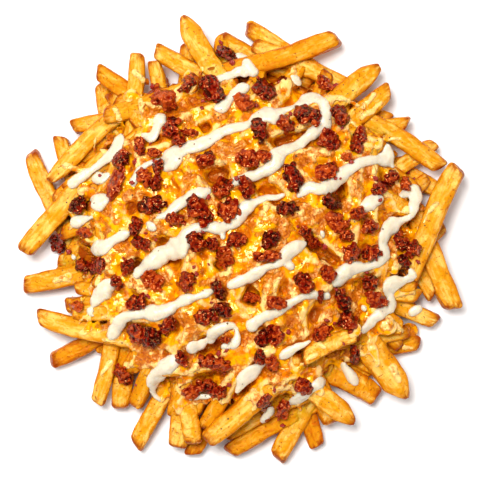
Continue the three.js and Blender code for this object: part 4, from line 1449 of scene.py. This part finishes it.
def fry_material(colours):
    """Fried potato: pale faces with lengthwise streaks, golden sides and brown ends; the sides' gold
    and amber are partly painted shade, the pale partly painted highlight.
    """
    finish = Finish("fries")
    grain = finish.attribute("grain", "Vector")
    side = finish.attribute("side")
    # The tone is partly the fries' own browning, partly painted shade on the low fries and the core
    # that show in the gaps.
    tone = finish.attribute("tone")
    crisp = finish.attribute("crisp")
    streak = finish.noise(finish.stretched(grain, (60, 850, 850)), 1.0, 4.0, 0.6, 0.4)
    patch = finish.noise(finish.stretched(grain, (110, 240, 240)), 1.0, 3.0, 0.6, 0.6)
    fine = finish.noise(grain, 1300, 3.0, 0.6)
    mottle = finish.ranged(patch, 0.34, 0.64)
    # The side value paints shade: a fry's sides go gold and amber, partly their own colour, partly
    # painted shade.
    golden_and_shade = finish.total(-0.56, (side, 0.7), (mottle, 0.45), (tone, 0.75), (streak, 1.1))
    # The pale on the streaks and faces is partly the fry's pale flesh, partly painted highlight.
    colour = finish.mix(finish.ranged(golden_and_shade, -0.1, 0.55), colours.fry_pale_and_highlight, colours.fry_gold)
    colour = finish.mix(finish.ranged(golden_and_shade, 0.6, 1.2), colour, colours.fry_amber_and_shade)
    crust = finish.math("MULTIPLY", crisp, finish.ranged(patch, 0.3, 0.6))
    browned = finish.total(-0.14, (crust, 1.3), (tone, 0.28), (fine, 0.24))
    colour = finish.mix(browned, colour, colours.fry_brown)
    blister = finish.ranged(finish.noise(grain, 620, 2.0, 0.5), 0.62, 0.7, 0.0, 0.7)
    colour = finish.mix(blister, colour, colours.fry_brown)
    roughness = finish.ranged(fine, 0.3, 0.7, 0.34, 0.46)
    grooves = finish.noise(finish.stretched(grain, (60, 330, 330)), 1.0, 1.0, 0.5, 0.3)
    dents = finish.noise(finish.stretched(grain, (150, 240, 240)), 1.0, 1.0, 0.5, 0.8)
    normal = finish.bump(grooves, 0.8, 1.0 * MM)
    normal = finish.bump(dents, 1.0, 1.6 * MM, normal)
    finish.glow(0.4, (1.0, 0.35, 0.08), 2.5 * MM)
    return finish.surface(colour, roughness, normal, shine=0.25, tint=(1, 0.75, 0.2))


def cheese_material(colours):
    """Melted cheese: glossy orange pools between baked, grainy and browned places, with painted shade
    in the creases and a pale that is partly painted highlight.
    """
    finish = Finish("cheese")
    place = finish.place()
    baked = finish.attribute("baked")
    ridge = finish.attribute("ridge")
    middling = finish.noise(place, 200, 3.0, 0.55, 0.8)
    fine = finish.noise(place, 700, 4.0, 0.65, 0.6)
    threads = finish.noise(finish.stretched(place, (1000, 320, 600)), 1.0, 3.0, 0.5, 2.0)
    thick = finish.ranged(middling, 0.4, 0.62)
    melted = finish.mix(thick, colours.cheese_bright, colours.cheese_deep)
    hollow = finish.attribute("hollow")
    spots = finish.ranged(fine, 0.38, 0.56)
    crust = finish.mix(spots, colours.cheese_brown_and_shade, colours.cheese_baked)
    mask = finish.ranged(finish.total(-0.5, (baked, 1.0), (fine, 0.7)), 0.3, 0.7)
    colour = finish.mix(mask, melted, crust)
    # The pale on ridges and threads is partly thin cheese over fries and melted strings, partly
    # painted highlight.
    pale_and_highlight = finish.total(-1.0, (ridge, 0.4), (middling, 1.0), (threads, 0.7), (hollow, -0.5))
    pale_and_highlight = finish.ranged(pale_and_highlight, 0.0, 0.4)
    colour = finish.mix(pale_and_highlight, colour, colours.cheese_pale_and_highlight)
    # Painted shade: the cheese is coloured brown in its creases and hollows.
    crease_shade = finish.ranged(hollow, 0.05, 0.7, 0.0, 0.75)
    colour = finish.mix(crease_shade, colour, colours.cheese_brown_and_shade)
    roughness = finish.ranged(mask, 0.0, 1.0, 0.12, 0.36)
    waves = finish.noise(place, 170, 0.0, 0.5, 0.5)
    wrinkles = finish.noise(place, 400, 1.0, 0.5, 0.8)
    wrinkles = finish.math("MULTIPLY", wrinkles, finish.ranged(mask, 0.2, 0.8, 0.2, 1.0))
    normal = finish.bump(waves, 1.0, 2.4 * MM)
    normal = finish.bump(wrinkles, 1.0, 1.3 * MM, normal)
    finish.glow(0.2, (1.0, 0.35, 0.04), 2.5 * MM)
    return finish.surface(colour, roughness, normal, shine=0.8, tint=(1, 0.85, 0.35))


def drizzle_material(colours):
    """Thick ivory sauce: smooth, glossy and a little uneven."""
    finish = Finish("drizzle")
    place = finish.place()
    cloud = finish.noise(place, 160, 3.0, 0.5)
    ripples = finish.noise(place, 300, 2.0, 0.5)
    tint = finish.ranged(cloud, 0.4, 0.7, 0.0, 0.4)
    colour = finish.mix(tint, colours.drizzle, (0.70, 0.60, 0.42))
    # Orange at the sauce's thin edge: partly the cheese showing through, partly painted warm shade.
    edge = finish.ranged(finish.attribute("edge"), 0.1, 1.0, 0.0, 0.35)
    colour = finish.mix(edge, colour, (0.80, 0.58, 0.26))
    roughness = finish.ranged(ripples, 0.3, 0.7, 0.24, 0.36)
    normal = finish.bump(ripples, 0.3, 0.7 * MM)
    finish.glow(0.9, (1.0, 0.8, 0.55), 4 * MM)
    return finish.surface(colour, roughness, normal)


def bacon_material(colours):
    """Crisp bacon: dark, red and pale lumps with a greasy sparkle, and painted shade that darkens the
    hollows and the lower parts.
    """
    finish = Finish("bacon")
    place = finish.place()
    shade = finish.attribute("shade")
    depth = finish.attribute("depth")
    luck = finish.attribute("luck")
    patch = finish.ranged(finish.noise(place, 200, 2.0, 0.5, 0.5), 0.35, 0.65)
    lumps = finish.ranged(finish.noise(place, 520, 3.0, 0.6, 0.8), 0.35, 0.65)
    hollow = finish.attribute("hollow")
    # Painted shade: the hollows and lower parts of a crumble are coloured darker, its higher parts
    # paler.
    tone_and_shade = finish.total(-0.52, (shade, 0.6), (lumps, 0.25), (patch, 0.45), (depth, 0.4),
                         (luck, 0.5), (hollow, -0.7))
    colour = finish.mix(finish.ranged(tone_and_shade, 0.05, 0.45), colours.bacon_dark_and_shade, colours.bacon_red)
    colour = finish.mix(finish.ranged(tone_and_shade, 0.5, 1.1), colour, colours.bacon_pale)
    roughness = finish.ranged(lumps, 0.3, 0.7, 0.1, 0.17)
    normal = finish.bump(finish.noise(place, 380, 0.0, 0.5, 1.0), 1.0, 1.4 * MM)
    return finish.surface(colour, roughness, normal, shine=1.0, tint=(1, 0.42, 0.14))


def speck_material():
    """Dark specks of crust and pepper."""
    finish = Finish("specks")
    grain = finish.noise(finish.place(), 900, 2.0)
    colour = finish.mix(grain, (0.05, 0.02, 0.006), (0.16, 0.06, 0.012))
    return finish.surface(colour, 0.6, finish.bump(grain, 0.4, 0.2 * MM))


def floor_material():
    """A plain white table."""
    finish = Finish("floor")
    grain = finish.noise(finish.place(), 60, 2.0)
    colour = finish.mix(grain, (0.90, 0.90, 0.90), (0.92, 0.92, 0.92))
    return finish.surface(colour, 0.7, finish.bump(grain, 0.02, MM), shine=0.2)


# The stage

def area_light(name, place, size, power, colour):
    """A soft box that faces the middle of the heap."""
    light = bpy.data.lights.new(name, "AREA")
    light.shape = "SQUARE"
    light.size = size
    light.energy = power
    light.color = colour
    lamp = bpy.data.objects.new(name, light)
    bpy.context.collection.objects.link(lamp)
    lamp.location = place
    toward = Vector(LIGHTS_FACE) - Vector(place)
    lamp.rotation_euler = toward.to_track_quat("-Z", "Y").to_euler()


def studio_world(scene):
    """A plain sky, bright all round and dimmer overhead, which glossy faces don't mirror."""
    world = bpy.data.worlds.new("studio")
    scene.world = world
    world.use_nodes = True
    nodes, links = world.node_tree.nodes, world.node_tree.links
    direction = nodes.new("ShaderNodeTexCoord").outputs["Generated"]
    parts = nodes.new("ShaderNodeSeparateXYZ")
    links.new(direction, parts.inputs["Vector"])
    falloff = nodes.new("ShaderNodeMapRange")
    falloff.inputs["To Min"].default_value = SKY_AT_HORIZON
    falloff.inputs["To Max"].default_value = SKY_OVERHEAD
    links.new(parts.outputs["Z"], falloff.inputs["Value"])
    background = nodes["Background"]
    background.inputs["Color"].default_value = (1.0, 0.99, 0.985, 1)
    links.new(falloff.outputs["Result"], background.inputs["Strength"])
    world.cycles_visibility.glossy = False


class HEAP_OT_stage(bpy.types.Operator):
    """Sets the white table, the soft light and the camera that looks straight down"""

    bl_idname = "heap.stage"
    bl_label = "Stage"

    def execute(self, context):
        start_clean()
        bpy.ops.mesh.primitive_grid_add(x_subdivisions=8, y_subdivisions=8, size=TABLE_SIZE)
        floor = context.view_layer.objects.active
        floor.name = "table"
        floor.location.z = -0.1 * MM
        bpy.ops.object.transform_apply(location=True)
        floor.data.materials.append(floor_material())

        area_light("key_light", **KEY_LIGHT)
        for i in range(RING_LIGHTS):
            turn = 2 * math.pi * (i + 0.3) / RING_LIGHTS
            place = (math.cos(turn), math.sin(turn), RING_HEIGHT)
            area_light(f"ring_light_{i}", place, **RING_LIGHT)
        studio_world(context.scene)
        context.scene.view_settings.view_transform = "Standard"

        camera = bpy.data.cameras.new("camera")
        camera.lens = CAMERA_LENS
        camera.sensor_width = 36
        camera.clip_end = 10
        holder = bpy.data.objects.new("camera", camera)
        bpy.context.collection.objects.link(holder)
        holder.location = (CAMERA_OVER[0] * MM, CAMERA_OVER[1] * MM, CAMERA_HEIGHT)
        context.scene.camera = holder
        return {"FINISHED"}


class HEAP_PT_pieces(bpy.types.Panel):
    """The heap's pieces, in the order in which they are made"""

    bl_label = "Loaded fries"
    bl_space_type = "VIEW_3D"
    bl_region_type = "UI"
    bl_category = "Fries"

    def draw(self, context):
        for operator in OPERATORS:
            self.layout.operator(operator.bl_idname)
        for group in (context.scene.heap_sizes, context.scene.heap_colours):
            for name in group.__annotations__:
                self.layout.prop(group, name)


OPERATORS = (HEAP_OT_fries, HEAP_OT_cheese, HEAP_OT_drizzle, HEAP_OT_bacon, HEAP_OT_crumbs,
             HEAP_OT_stage)
CLASSES = (HeapSizes, HeapColours) + OPERATORS + (HEAP_PT_pieces,)


def register():
    for part in CLASSES:
        bpy.utils.register_class(part)
    bpy.types.Scene.heap_sizes = PointerProperty(type=HeapSizes)
    bpy.types.Scene.heap_colours = PointerProperty(type=HeapColours)


def unregister():
    del bpy.types.Scene.heap_colours
    del bpy.types.Scene.heap_sizes
    for part in reversed(CLASSES):
        bpy.utils.unregister_class(part)


def main():
    """Makes every piece in order."""
    register()
    start_clean()
    bpy.ops.heap.fries()
    bpy.ops.heap.cheese()
    bpy.ops.heap.drizzle()
    bpy.ops.heap.bacon()
    bpy.ops.heap.crumbs()
    bpy.ops.heap.stage()


if __name__ == "__main__":
    main()
